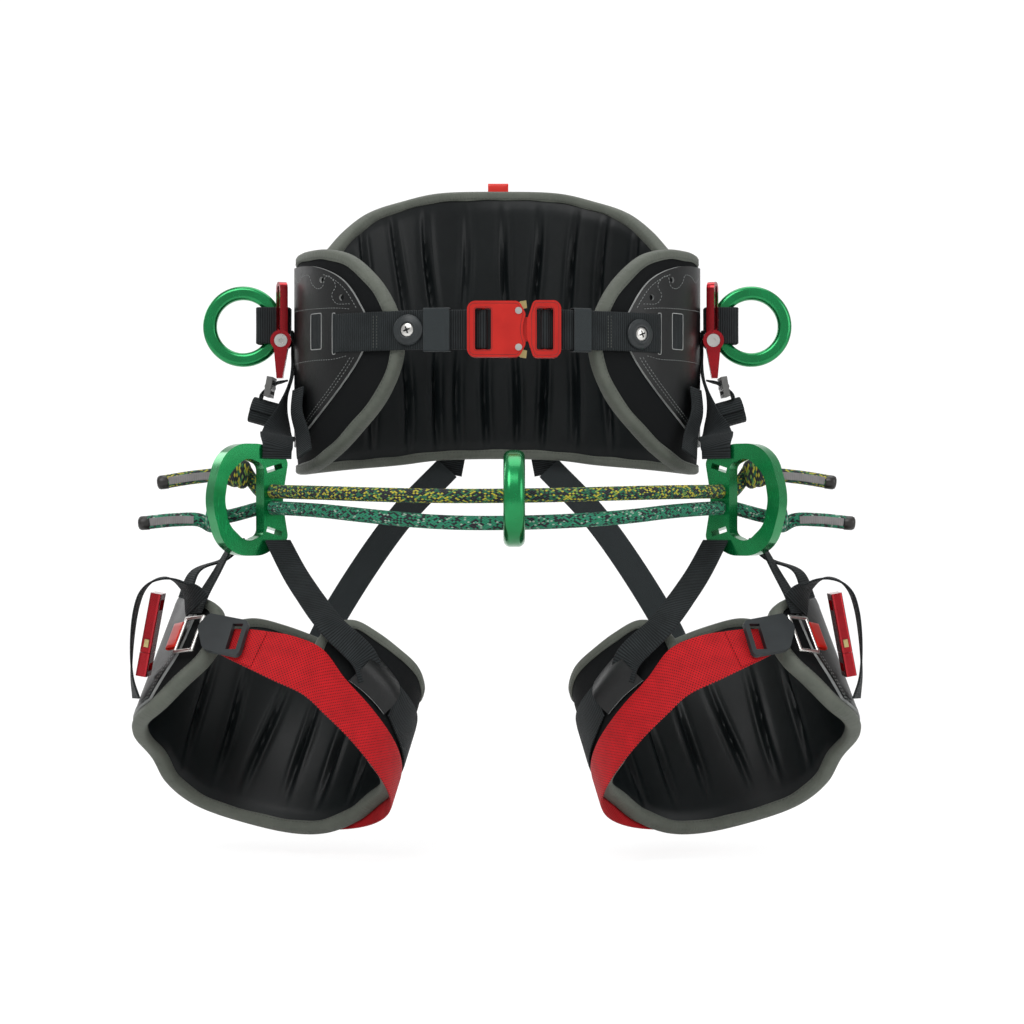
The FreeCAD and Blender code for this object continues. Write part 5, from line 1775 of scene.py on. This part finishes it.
def folded(name: str, kind: Enum, matrix: Matrix, half: Sequence[float], width: float, thick: float,
           corner: float) -> bpy.types.Object:
    """Webbing in a closed loop about its own Z axis.

    Args:
        name: the piece's name.
        kind: its finish.
        matrix: its place.
        half: the loop's half sizes along X and Y, to the webbing's middle.
        width: the webbing's width, along Z.
        thick: its thickness.
        corner: the radius of the loop's corners.

    Returns:
        The loop.
    """
    x, y = half
    outline = rounded([(-x, -y, corner), (x, -y, corner), (x, y, corner), (-x, y, corner)], 6)
    stations = [((a, b, 0.0), (0, 0, 1)) for a, b in outline]
    loop = Strap(width, thick).build(name, kind, stations, 2.0, looped=True)
    loop.data.transform(Matrix.Scale(1 / MM, 4))
    return moved(loop, matrix)


@dataclass(frozen=True)
class SideWebbing:
    """The risers, ring loops, rolled tails and stubs on one side, mirrored to the other."""

    def build(self) -> None:
        """Build and dress the webbing on both sides."""
        self.pair(self.belt_risers(), "belt_risers")
        self.pair(self.ring_loops(), "ring_loops")
        self.pair(self.tail(), "riser_tails")
        self.pair(self.stub(), "strap_stubs")

    @staticmethod
    def pair(piece: bpy.types.Object, node: str) -> None:
        """Mirror a piece and let the pair stand for one node."""
        twin = mirrored(piece, piece.name + "_left")
        ride(joined(piece.name, [piece, twin]), "waist_belt", Slot.WEBBING, node)

    def belt_risers(self) -> bpy.types.Object:
        """The riser from the ring's loop to the D, and the narrow one under the leather."""
        wide = [((208.3, 5, 8), (0, 1, 0)), ((208.6, 2, -22), (0, 1, 0)), ((211.5, -24, -55), (0.1, 1, 0)),
                ((213, -48, -81), (-0.25, 0.95, 0)), ((215, -66, -96), (-0.6, 0.8, 0)),
                (d_point(-34, 0.5, -101.5), -D_OUT), (d_point(-28, -9.5, -111), -D_OUT),
                (d_point(-27.5, -9.5, -123), -D_OUT)]
        thin = [((198, -56, -52), (0.6, 0.8, 0)), ((199, -63, -75), (0.6, 0.8, 0)),
                ((192.5, -74, -98), (0.65, 0.76, 0)), ((189, -90, -118), (0.70, 0.71, 0))]
        return joined("belt_webbing", [Strap(34.0, 2.1).build("wide_riser", Slot.WEBBING, wide),
                                       Strap(20.0, 2.1).build("thin_riser", Slot.WEBBING, thin)])

    def ring_loops(self) -> bpy.types.Object:
        """Two layers of webbing round the side ring's inboard run."""
        layers = []
        for left, right, deep in ((212.7, 242.2, 10.8), (211.5, 244.4, 13.0)):
            place = frame_matrix(((left + right) / 2, 0, 14.5), (1, 0, 0), (0, 1, 0), (0, 0, 1))
            layers.append(folded("layer", Slot.WEBBING, place, ((right - left) / 2, deep), 37.0, 2.1, 6.0))
        return joined("ring_webbing", layers)

    def tail(self) -> bpy.types.Object:
        """The spare end of the riser, rolled up."""
        lean = math.radians(16)
        across = (math.cos(lean), 0.0, math.sin(lean))
        up = np.array((-math.sin(lean), 0.0, math.cos(lean)))
        path = []
        for k in range(42):
            turn = k / 12 * TAU
            shrink = 2.5 * turn / TAU
            deep = math.copysign(abs(math.cos(turn)) ** 0.75, math.cos(turn)) * (15.2 - shrink)
            high = math.copysign(abs(math.sin(turn)) ** 0.75, math.sin(turn)) * (13.2 - shrink)
            path.append((np.array((234.5, -40.0 - deep, -76.0)) + up * high, across))
        lead = [((213.5, -36, -44), (0.15, 1, 0)), ((221, -39, -46), (0, 1, 0)),
                ((229, -40, -51), (0, 1, 0)),
                ((236, -40, -58), (0, 1, 0)), ((237, -40, -66), (0, 1, 0))]
        return joined("rolled_tail", [Strap(25.5, 2.1).build("roll", Slot.WEBBING, path, 2.0),
                                      Strap(24.0, 2.0).build("lead", Slot.WEBBING, lead, 2.0)])

    def stub(self) -> bpy.types.Object:
        """The short strap under the back's edge."""
        stations = [((48, 142.2, -98), (1, -0.1, 0)), ((50, 141.8, -112), (1, -0.1, 0)),
                    ((54, 140, -134), (1, -0.1, 0.2))]
        return Strap(30.0, 2.1).build("rear_stub", Slot.WEBBING, stations)


# ---- bridge ---------------------------------------------------------------------------------
def route_points(name: str, points: Sequence[Sequence[float]]) -> Points:
    """The points of a smooth open line with these control points, in metres."""
    curve = bpy.data.curves.new(name, "CURVE")
    curve.dimensions = "3D"
    spline = curve.splines.new("NURBS")
    spline.points.add(len(points) - 1)
    for point, place in zip(spline.points, points):
        point.co = (*place, 1.0)
    spline.order_u = 3
    spline.use_endpoint_u = True
    spline.resolution_u = 24
    holder = bpy.data.objects.new(name, curve)
    bpy.context.scene.collection.objects.link(holder)
    graph = bpy.context.evaluated_depsgraph_get()
    mesh = bpy.data.meshes.new_from_object(holder.evaluated_get(graph))
    found = np.array([tuple(vertex.co) for vertex in mesh.vertices])
    bpy.data.objects.remove(holder)
    bpy.data.curves.remove(curve)
    bpy.data.meshes.remove(mesh)
    return found


@dataclass(frozen=True)
class Rope:
    """Braided rope of one thickness, with its strands standing proud."""

    radius: float = 6.75
    around: int = 56
    step: float = 1.1
    strands: int = 18
    slope: float = 3.3
    relief: float = 0.42

    def tube(self, name: str, kind: Enum, path: Points, start: float = 0.0) -> bpy.types.Object:
        """A tube of rope along a path in millimetres."""
        run = lengths(path)
        count = max(8, int(run[-1] / self.step))
        at = np.linspace(0, run[-1], count)
        even = np.stack([np.interp(at, run, path[:, k]) for k in range(3)], 1)
        along = directions(even)
        for _ in range(3):
            along = unit(along + np.concatenate([along[:1], along[:-1]]) + np.concatenate([along[1:],
                                                                                           along[-1:]]))
        up = carried(along)
        side = np.cross(along, up)
        share = np.arange(self.around) / self.around
        turn = share[None] * self.strands
        shift = (at[:, None] + start) / self.slope
        first, second = turn + shift, turn - shift
        over = (((np.floor(first) + np.floor(second)) * 0.5) % 1.0) > 0.25
        humps = [4 * (v % 1.0) * (1 - v % 1.0) for v in (first, second)]
        high = np.where(over, humps[0] * 0.7 + humps[1] * 0.5, humps[1] * 0.7 + humps[0] * 0.5)
        radius = (self.radius - self.relief + self.relief * np.clip(high, 0, 1.1))[..., None]
        angle = share * TAU
        rings = even[:, None] + radius * (side[:, None] * np.cos(angle)[None, :, None]
                                          + up[:, None] * np.sin(angle)[None, :, None])
        marks = np.zeros((count, self.around + 1, 3))
        marks[:, :, 0] = (np.arange(self.around + 1) / self.around)[None]
        marks[:, :, 1] = (at + start)[:, None]
        return Skin(rings, marks).build(name, [kind])


@dataclass(frozen=True)
class Bridge:
    """The rope bridge: two ropes between the D's, their knots and tails."""

    rope: Rope = Rope()
    plan: tuple = ((-0.1756, -0.1502), (-0.120, -0.196), (-0.046, -0.215),
                   (0.046, -0.215), (0.120, -0.196), (0.1756, -0.1502))
    upper: tuple = (-0.155, -0.1564, -0.1586, -0.1604, -0.1596, -0.1574, -0.1558, -0.155)
    lower: tuple = (-0.171, -0.1726, -0.1788, -0.1856, -0.1848, -0.1802, -0.173, -0.171)

    def build(self) -> None:
        """Build and dress both ropes with what is on them."""
        rows = (("upper", self.upper, Slot.ROPE_YELLOW, -155.0, (253.5, -77, -137), (331, -84, -146)),
                ("lower", self.lower, Slot.ROPE_GREEN, -171.0, (275.5, -84, -182), (349, -88, -186)))
        caps = []
        patches = []
        made = []
        for name, heights, kind, z, knot, tail in rows:
            start = d_point(-25.0, -7.3, 0) * MM
            plan = [(-start[0], start[1]), *self.plan, (start[0], start[1])]
            points = route_points(name, [(x, y, height) for (x, y), height in zip(plan, heights)])
            cord = self.rope.tube(f"bridge_cord_{name}", kind, points / MM)
            right = self.knot(f"knot_{name}_right", kind, z, knot, tail)
            left = mirrored(right, f"knot_{name}_left")
            ride(joined(f"stopper_knots_{name}", [right, left]), "waist_belt", kind, f"rope_knots_{name}")
            knots = bpy.data.objects[f"stopper_knots_{name}"]
            caps.append(self.cap(knot, tail))
            caps.append(mirrored(caps[-1], "cap_left"))
            patches.append(self.whipping(knot, tail))
            patches.append(mirrored(patches[-1], "whipping_left"))
            made.append((name, cord, kind, points, knots, heights))
        ends = joined("dipped_ends", caps)
        ride(ends, "waist_belt", Slot.ROPE_END, "rope_ends")
        whipping = joined("tail_whipping", patches)
        ride(whipping, "waist_belt", Slot.ROPE_END)
        for index, (name, cord, kind, points, knots, heights) in enumerate(made):
            settle(cord, kind, f"bridge_rope_{name}")
            length = float(lengths(points)[-1])
            tuple(points[0])
            [tuple(point) for point in points]
            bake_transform(cord)

    def knot(self, name: str, kind: Enum, z: float, centre: Sequence[float],
             tail: Sequence[float]) -> bpy.types.Object:
        """A stopper knot behind the D, and its tail."""
        middle = np.array(centre, float)
        shank = [d_point(-25, -7.0, z), d_point(-25, 4, z), d_point(-25, 14, z)]
        axis = unit(np.array(tail, float) - middle)
        first = unit(np.cross(axis, (0, 0, 1)))
        second = np.cross(axis, first)
        turns = []
        for k in range(11):
            angle = math.radians(200 + k * 62)
            reach = 8.6 if 1 < k < 9 else 6.4
            drift = -5.5 + 1.15 * k
            turns.append(middle + axis * drift
                         + (first * math.cos(angle) + second * math.sin(angle)) * reach)
        end = np.array(tail, float)
        path = smooth([*shank, *turns, middle + axis * 17,
                       middle * 0.45 + end * 0.55 + np.array((0, 0, 1.5)), end], 1.2)
        return replace(self.rope, radius=6.7).tube(name, kind, path)

    def whipping(self, knot: Sequence[float], tail: Sequence[float]) -> bpy.types.Object:
        """The flat stitched patch along a tail's front."""
        start, end = np.array(knot, float), np.array(tail, float)
        lift = np.array((0, 0, 1.5))
        path = smooth([start + unit(end - start) * 17, start * 0.45 + end * 0.55 + lift, end], 1.2)
        run = lengths(path)
        stations = []
        for at in np.linspace(run[-1] - 52, run[-1] - 9, 12):
            centre = np.array([np.interp(at, run, path[:, k]) for k in range(3)])
            stations.append((centre + np.array((0, -6.75, 0)), (0, 0, 1)))
        return Strap(7.6, 1.0).build("whipping", Extra.WHIPPING, stations, 1.5)

    def cap(self, knot: Sequence[float], tail: Sequence[float]) -> bpy.types.Object:
        """The dipped black end of a tail."""
        axis = unit(np.array(tail, float) - np.array(knot, float))
        profile = [(0.05, 3.6), (3.4, 3.3), (5.8, 2.3), (6.85, 0.2), (6.95, -2.2), (6.9, -7.4), (6.4, -7.9),
                   (0.05, -8.0)]
        side = unit(np.cross(axis, (0, 0, 1)))
        return moved(lathe("cap", Slot.ROPE_END, profile, 40),
                     frame_matrix(np.array(tail, float), side, np.cross(axis, side), axis))


# ---- legs -----------------------------------------------------------------------------------
LEG_UP = unit(np.array((-0.25, 0.50, 0.829)))
LEG_BACK = unit(np.array((0.0, LEG_UP[2], -LEG_UP[1])))
LEG_OUT = np.cross(LEG_BACK, LEG_UP)
LEG = Oval(130.0, 97.0, (215.7, -110.0, -379.4), (LEG_OUT, LEG_BACK, LEG_UP))
LEG_OUTER = ((130, 105), (118, 101), (97, 84), (72, 68), (60, 40), (66, 10), (80, -9), (107, -40),
             (130, -47))
LEG_INNER = ((-130, 76), (-122, 80), (-106, 81), (-86, 84), (-60, 85), (-42, 72), (-33, 42), (-44, 1),
             (-64, -7),
             (-86, -17), (-106, -27), (-118, -36), (-130, -38))
LEG_TOP = ((-130, 76), (-117, 80), (-98, 98), (-60, 122), (4, 142), (48, 145), (79, 139), (102, 119),
           (117, 106),
           (130, 105))
LEG_BOTTOM = ((130, -47), (117, -49), (100, -63), (73, -71), (22, -72), (-60, -69), (-98, -54), (-117, -40),
              (-130, -38))


def leg_point(x: float, offset: float, z: float, front: bool = True) -> Points:
    """A place on the right leg's oval."""
    deep = (LEG.half_y + offset) * math.sqrt(max(0.0, 1 - (x / (LEG.half_x + offset)) ** 2))
    return LEG.centre + LEG_OUT * x + LEG_BACK * (-deep if front else deep) + LEG_UP * z


@dataclass(frozen=True)
class LegLoop:
    """One leg loop, built on the right and mirrored to the left."""

    leather_front: tuple = ((88, 90), (92, 59), (95, 19), (104, -11), (113, -49))

    def build(self) -> None:
        """Build and dress both loops."""
        creases = [Crease(LEG.arc(x, False), z, 80, 3.4, lean, 4.4)
                   for x, z, lean in ((-96, 20, 0.1), (-58, 24, 0.05), (-18, 26, -0.04), (26, 26, 0.05),
                                      (66, 24, -0.05), (100, 20, -0.1))]
        padded = PaddedBand("leg", LEG, LEG_INNER, LEG_OUTER, LEG_TOP, LEG_BOTTOM, creases)
        pad = padded.pad()
        self.pair(pad, Slot.LINING, "leg_pad", fill=0.7)
        self.pair(padded.binding(), Slot.BINDING, "leg_binding")
        self.pair(padded.tape_stitches(), Slot.BINDING)
        self.pair(self.leather(padded), Slot.LEATHER, "leg_leather")
        self.pair(self.leather_stitches(padded), Slot.LEATHER)
        self.pair(self.wrap(), Slot.WEBBING, "leg_webbing")
        self.pair(self.curl(), Slot.WEBBING)
        self.pair(self.sleeve(), Slot.LEATHER)
        self.pair(self.ribbon(), Slot.RED_RIBBON, "leg_ribbon")
        self.bridged(self.strap(), Slot.RED_WEB, "leg_strap", "leg_loop", "leg_hook",
                     leg_point(20, 7, 25) * MM, leg_point(48, 7, 28) * MM)
        self.bridged(self.risers(), Slot.WEBBING, "leg_risers", "waist_belt", "leg_loop",
                     np.array((0.24, -0.11, -0.212)), np.array((0.24, -0.13, -0.262)))
        self.bridged(self.rear(), Slot.ELASTIC, "rear_strap", "waist_belt", "leg_loop",
                     np.array((0.06, 0.13, -0.135)), np.array((0.175, 0.062, -0.29)))

    @staticmethod
    def pair(piece: bpy.types.Object, slot: Slot, node: str = "", fill: float = 0.0) -> None:
        """Give a piece to the right loop and its mirror image to the left."""
        twin = mirrored(piece, piece.name + "_left")
        piece.name += "_right"
        for side, built in ((Side.RIGHT, piece), (Side.LEFT, twin)):
            ride(built, f"leg_loop_{side.value}", slot, *((f"{node}_{side.value}",) if node else ()))

    @staticmethod
    def bridged(piece: bpy.types.Object, slot: Slot, node: str, first: str, second: str,
                start: Points, end: Points) -> None:
        """Mirror a piece to the left, hide the CAD nodes that the pair stand for, and bake both into place.
        """
        twin = mirrored(piece, piece.name + "_left")
        piece.name += "_right"
        for side, built in ((Side.RIGHT, piece), (Side.LEFT, twin)):
            sign = 1 if side is Side.RIGHT else -1
            settle(built, slot, f"{node}_{side.value}")
            sign * start[0]
            sign * end[0]
            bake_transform(built)

    def leather(self, padded: PaddedBand) -> bpy.types.Object:
        """The side plate over the leg pad's outer half."""
        front = smooth([(LEG.arc(x), z) for x, z in self.leather_front], 2.0)[::-1]
        end = LEG.arc(25.0, False)
        rise = np.linspace(0, 1, 26)
        along = np.concatenate([[0.0, 0.004, 0.012, 0.024], np.linspace(0.04, 1, 44)])
        heights = np.repeat((rise * 100 - 40)[None], len(along), 0)
        for _ in range(6):
            begin = np.interp(heights, front[:, 1], front[:, 0])
            runs = begin + (end - begin) * along[:, None]
            low, high = padded.heights(runs)
            heights = low + 11.0 + (high - low - 22.0) * rise[None]
        rings = np.concatenate([LEG.on(runs, heights, 2.8), LEG.on(runs, heights, 0.15)[:, ::-1]], 1)
        piece = Skin(rings).build("leg_side_plate", [Slot.LEATHER, Extra.EDGE])
        WaistBelt.pale_edges(piece, LEG)
        return piece

    def leather_stitches(self, padded: PaddedBand) -> bpy.types.Object:
        """The pale rows along the leather's front and lower edges."""
        rows = []
        front = smooth([(LEG.arc(x), z) for x, z in self.leather_front], 2.0)
        for inset in (4.5, 7.5):
            line = grown(front[3:-6], inset, False)
            rows.append((LEG.on(line[:, 0], line[:, 1], 2.85), LEG.outward(line[:, 0])))
        runs = np.linspace(LEG.arc(112), LEG.arc(30.0, False), 160)
        low, high = padded.heights(runs)
        for heights in (low + 15.5, high - 15.5):
            rows.append((LEG.on(runs, heights, 2.85), LEG.outward(runs)))
        return stitching("leg_plate_stitches", Extra.PALE_THREAD, rows, 2.2, 1.5, 0.6, 0.3)

    def strap(self) -> bpy.types.Object:
        """The red strap across the front of the leg, through the hook and round behind."""
        upper = LEG.line([(47, 42), (29, 43), (-13, 46), (-41, 42), (-68, 22), (-93, 9), (-115, -3),
                          (-134, -17)],
                         [(-110, -27), (-60, -34), (0, -37)])
        lower = LEG.line([(50, 14), (34, 8), (-6, -3), (-39, -9), (-62, -20), (-84, -30), (-106, -41),
                          (-120, -48), (-134, -54)],
                         [(-110, -58), (-60, -61), (0, -63)])
        main = band("leg_red_band", [Slot.RED_WEB], LEG, upper, lower, 1.7, 3.9)
        fold = band("leg_red_fold", [Slot.RED_WEB], LEG, [(LEG.arc(12), 44), (LEG.arc(29), 43)],
                    [(LEG.arc(16), 4), (LEG.arc(31), 8)], 4.0, 5.0)
        return joined("leg_red_strap", [main, fold])

    def wrap(self) -> bpy.types.Object:
        """The dark webbing round the inner side."""
        upper = LEG.line([(-111, 45), (-122, 42), (-134, 38)], [(-110, 24), (-60, 8), (0, 0)])
        lower = LEG.line([(-111, 11), (-122, 0), (-134, -10)], [(-110, -20), (-60, -28), (0, -32)])
        return band("leg_inner_wrap", [Slot.WEBBING], LEG, upper, lower, 1.7, 3.9)

    def sleeve(self) -> bpy.types.Object:
        """The short leather sleeve over the inner riser's end."""
        upper = LEG.line([(-84, 60), (-96, 55), (-111, 47)])
        lower = LEG.line([(-72, 22), (-90, 17), (-108, 9)])
        return band("leg_riser_sleeve", [Slot.LEATHER, Extra.EDGE], LEG, upper, lower, 2.2, 3.6, 2.0, True,
                    8.4)

    def ribbon(self) -> bpy.types.Object:
        """The bright ribbon that holds the wire ring."""
        seat = LEG.seat(104, 7.6, 33)
        place = seat @ ball_turn("X", 90)
        return folded("leg_ring_ribbon", Slot.RED_RIBBON, place, (7.4, 1.75), 28.0, 1.1, 1.7)

    def curl(self) -> bpy.types.Object:
        """The webbing from the riser over the quick buckle and down behind it."""
        stations = [(leg_point(90, 11.9, 62), (0.79, 0.59, -0.12)), ((298, -134.6, -249), (0.5, 0.85, 0)),
                    ((307, -137, -241.5), (0.35, 0.93, 0)), ((318, -139, -238.5), (0.2, 0.97, 0)),
                    ((331, -140, -242), (0.1, 1, 0)), ((340, -140, -251), (0.05, 1, 0)),
                    ((346, -140, -268), (0.05, 1, 0)), ((350, -140, -300), (0.1, 1, 0)),
                    ((350, -140, -333), (0.2, 0.98, 0)), ((346, -140, -354), (0.33, 0.94, 0))]
        return Strap(38.0, 2.1).build("leg_curl", Slot.WEBBING, stations)

    def risers(self) -> bpy.types.Object:
        """The risers from the D to the leg loop."""
        outer = [((258, -97, -204), (0.3, 0.95, 0)), ((272, -108, -232), (0.45, 0.88, 0)),
                 ((284.2, -122.4, -256), (0.6, 0.8, 0)), (leg_point(93, 5.2, 58), (0.79, 0.59, -0.12))]
        second = [((249, -88, -204), (0.3, 0.95, 0)), ((267, -83, -221), (0.35, 0.92, 0)),
                  (leg_point(109, 9.5, 107), (0.6, 0.78, -0.1)),
                  (leg_point(113, 5.4, 80), (0.72, 0.66, -0.2))]
        inner = [(d_point(-28.5, -9.5, -203), D_OUT), ((197, -119, -232), (0.76, -0.64, -0.1)),
                 ((178, -147, -257), (0.74, -0.64, -0.2)), ((156, -169.5, -283), (0.70, -0.62, -0.34)),
                 (leg_point(-82, 9.5, 46), (0.6, -0.58, -0.53)),
                 (leg_point(-92, 6.2, 32), (0.6, -0.58, -0.53))]
        return joined("leg_riser_webbing", [Strap(20.0, 2.1).build("outer", Slot.WEBBING, outer),
                                            Strap(20.0, 2.1).build("second", Slot.WEBBING, second),
                                            Strap(30.0, 2.1).build("inner", Slot.WEBBING, inner)])

    def rear(self) -> bpy.types.Object:
        """The flat strap from the belt's back to the leg loop's back."""
        stations = [((55, 136.9, -128), (0.8, 0, 0.6)), ((100, 112, -176), (0.77, 0, 0.64)),
                    ((140, 86, -232), (0.8, 0, 0.6)), ((180, 60, -300), (0.9, 0, 0.44)),
                    (leg_point(6, 3, 118, False), (0.95, 0.1, 0.25))]
        return Strap(28.0, 1.9).build("rear_elastic", Slot.ELASTIC, stations)


# ---- stage ----------------------------------------------------------------------------------
@dataclass(frozen=True)
class Stage:
    """The camera, pale floor and soft studio light."""

    camera_place: tuple = (0.015, -2.4, -0.175)
    lens: float = 82.7
    floor: float = -0.004

    def camera(self) -> None:
        """Set the camera in front, at the height of the belt's middle."""
        eye = bpy.data.cameras.new("front_camera")
        eye.lens = self.lens
        eye.sensor_width = 36.0
        holder = bpy.data.objects.new("front_camera", eye)
        holder.location = self.camera_place
        holder.rotation_euler = (math.radians(90), 0, 0)
        bpy.context.scene.collection.objects.link(holder)
        bpy.context.scene.camera = holder

    def light(self) -> None:
        """Hang the softboxes and set the even light from all round."""
        rows = (("key_light", (-0.9, -1.9, 1.9), 1.9, 44.0), ("fill_light", (2.0, -1.4, 0.5), 1.6, 16.0),
                ("top_light", (0.2, 0.5, 2.2), 2.2, 26.0), ("rim_light", (-1.9, 1.4, 0.9), 1.2, 12.0))
        for name, place, size, power in rows:
            lamp = bpy.data.lights.new(name, "AREA")
            lamp.shape = "DISK"
            lamp.size = size
            lamp.energy = power
            holder = bpy.data.objects.new(name, lamp)
            holder.location = place
            holder.rotation_euler = (Vector((0, 0, -0.15)) - Vector(place)).to_track_quat("-Z",
                                                                                          "Y").to_euler()
            bpy.context.scene.collection.objects.link(holder)
        bpy.context.scene.view_settings.view_transform = "Standard"
        world = bpy.data.worlds.new("studio")
        bpy.context.scene.world = world
        world.use_nodes = True
        sky = world.node_tree.nodes["Background"]
        sky.inputs["Color"].default_value = (1.0, 1.0, 1.0, 1.0)
        sky.inputs["Strength"].default_value = 0.55

    def ground(self, low: float) -> None:
        """Lay the floor, curving up into a backdrop."""
        profile = [(-4.0, 0.0), (1.6, 0.0), (2.0, 0.03), (2.3, 0.14), (2.5, 0.4), (2.56, 0.9), (2.56, 3.6)]
        line = smooth(profile, 0.08)
        rows = np.array([[(x, y, low + self.floor + z) for x in (-5.0, 5.0)] for y, z in line])
        faces = [(2 * i, 2 * i + 1, 2 * i + 3, 2 * i + 2) for i in range(len(line) - 1)]
        mesh = bpy.data.meshes.new("studio_floor")
        mesh.from_pydata(rows.reshape(-1, 3).tolist(), [], faces)
        for face in mesh.polygons:
            face.use_smooth = True
        mesh.materials.append(self.paper())
        floor = bpy.data.objects.new("studio_floor", mesh)
        bpy.context.scene.collection.objects.link(floor)

    @staticmethod
    def paper() -> bpy.types.Material:
        """Pale paper that reads as near white behind the saddle and takes its shadow."""
        shader = Shader("paper")
        grain = shader.noise(shader.place(), 220, 2)
        shader.set(Base_Color=shader.mix(grain, (0.86, 0.86, 0.86), (0.90, 0.90, 0.90)), Roughness=0.9)
        seen = shader.node("ShaderNodeLightPath", {}, {}, "Is Camera Ray") * 0.74
        glow = shader.node("ShaderNodeEmission", {}, {"Color": (1.0, 1.0, 1.0), "Strength": 1.12})
        both = shader.node("ShaderNodeMixShader", {},
                           {0: seen, 1: Value(shader, shader.surface.outputs[0]), 2: glow})
        shader.tree.links.new(both.socket, shader.output.inputs[0])
        return shader.material


def main() -> None:
    """Build the saddle from its waist belt down to its legs."""
    logging.basicConfig(level=logging.INFO, format="%(message)s")
    stage = Stage()
    stage.camera()
    for part in (Bridge(), WaistBelt(), FrontStraps(), SideWebbing(), LegLoop(), Hardware()):
        LOG.info("building %s", type(part).__name__)
        part.build()
    stage.light()
    low = min(corner[2] for corner in CAD_BOX)
    stage.ground(low)
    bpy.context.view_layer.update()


if __name__ == "__main__":
    main()
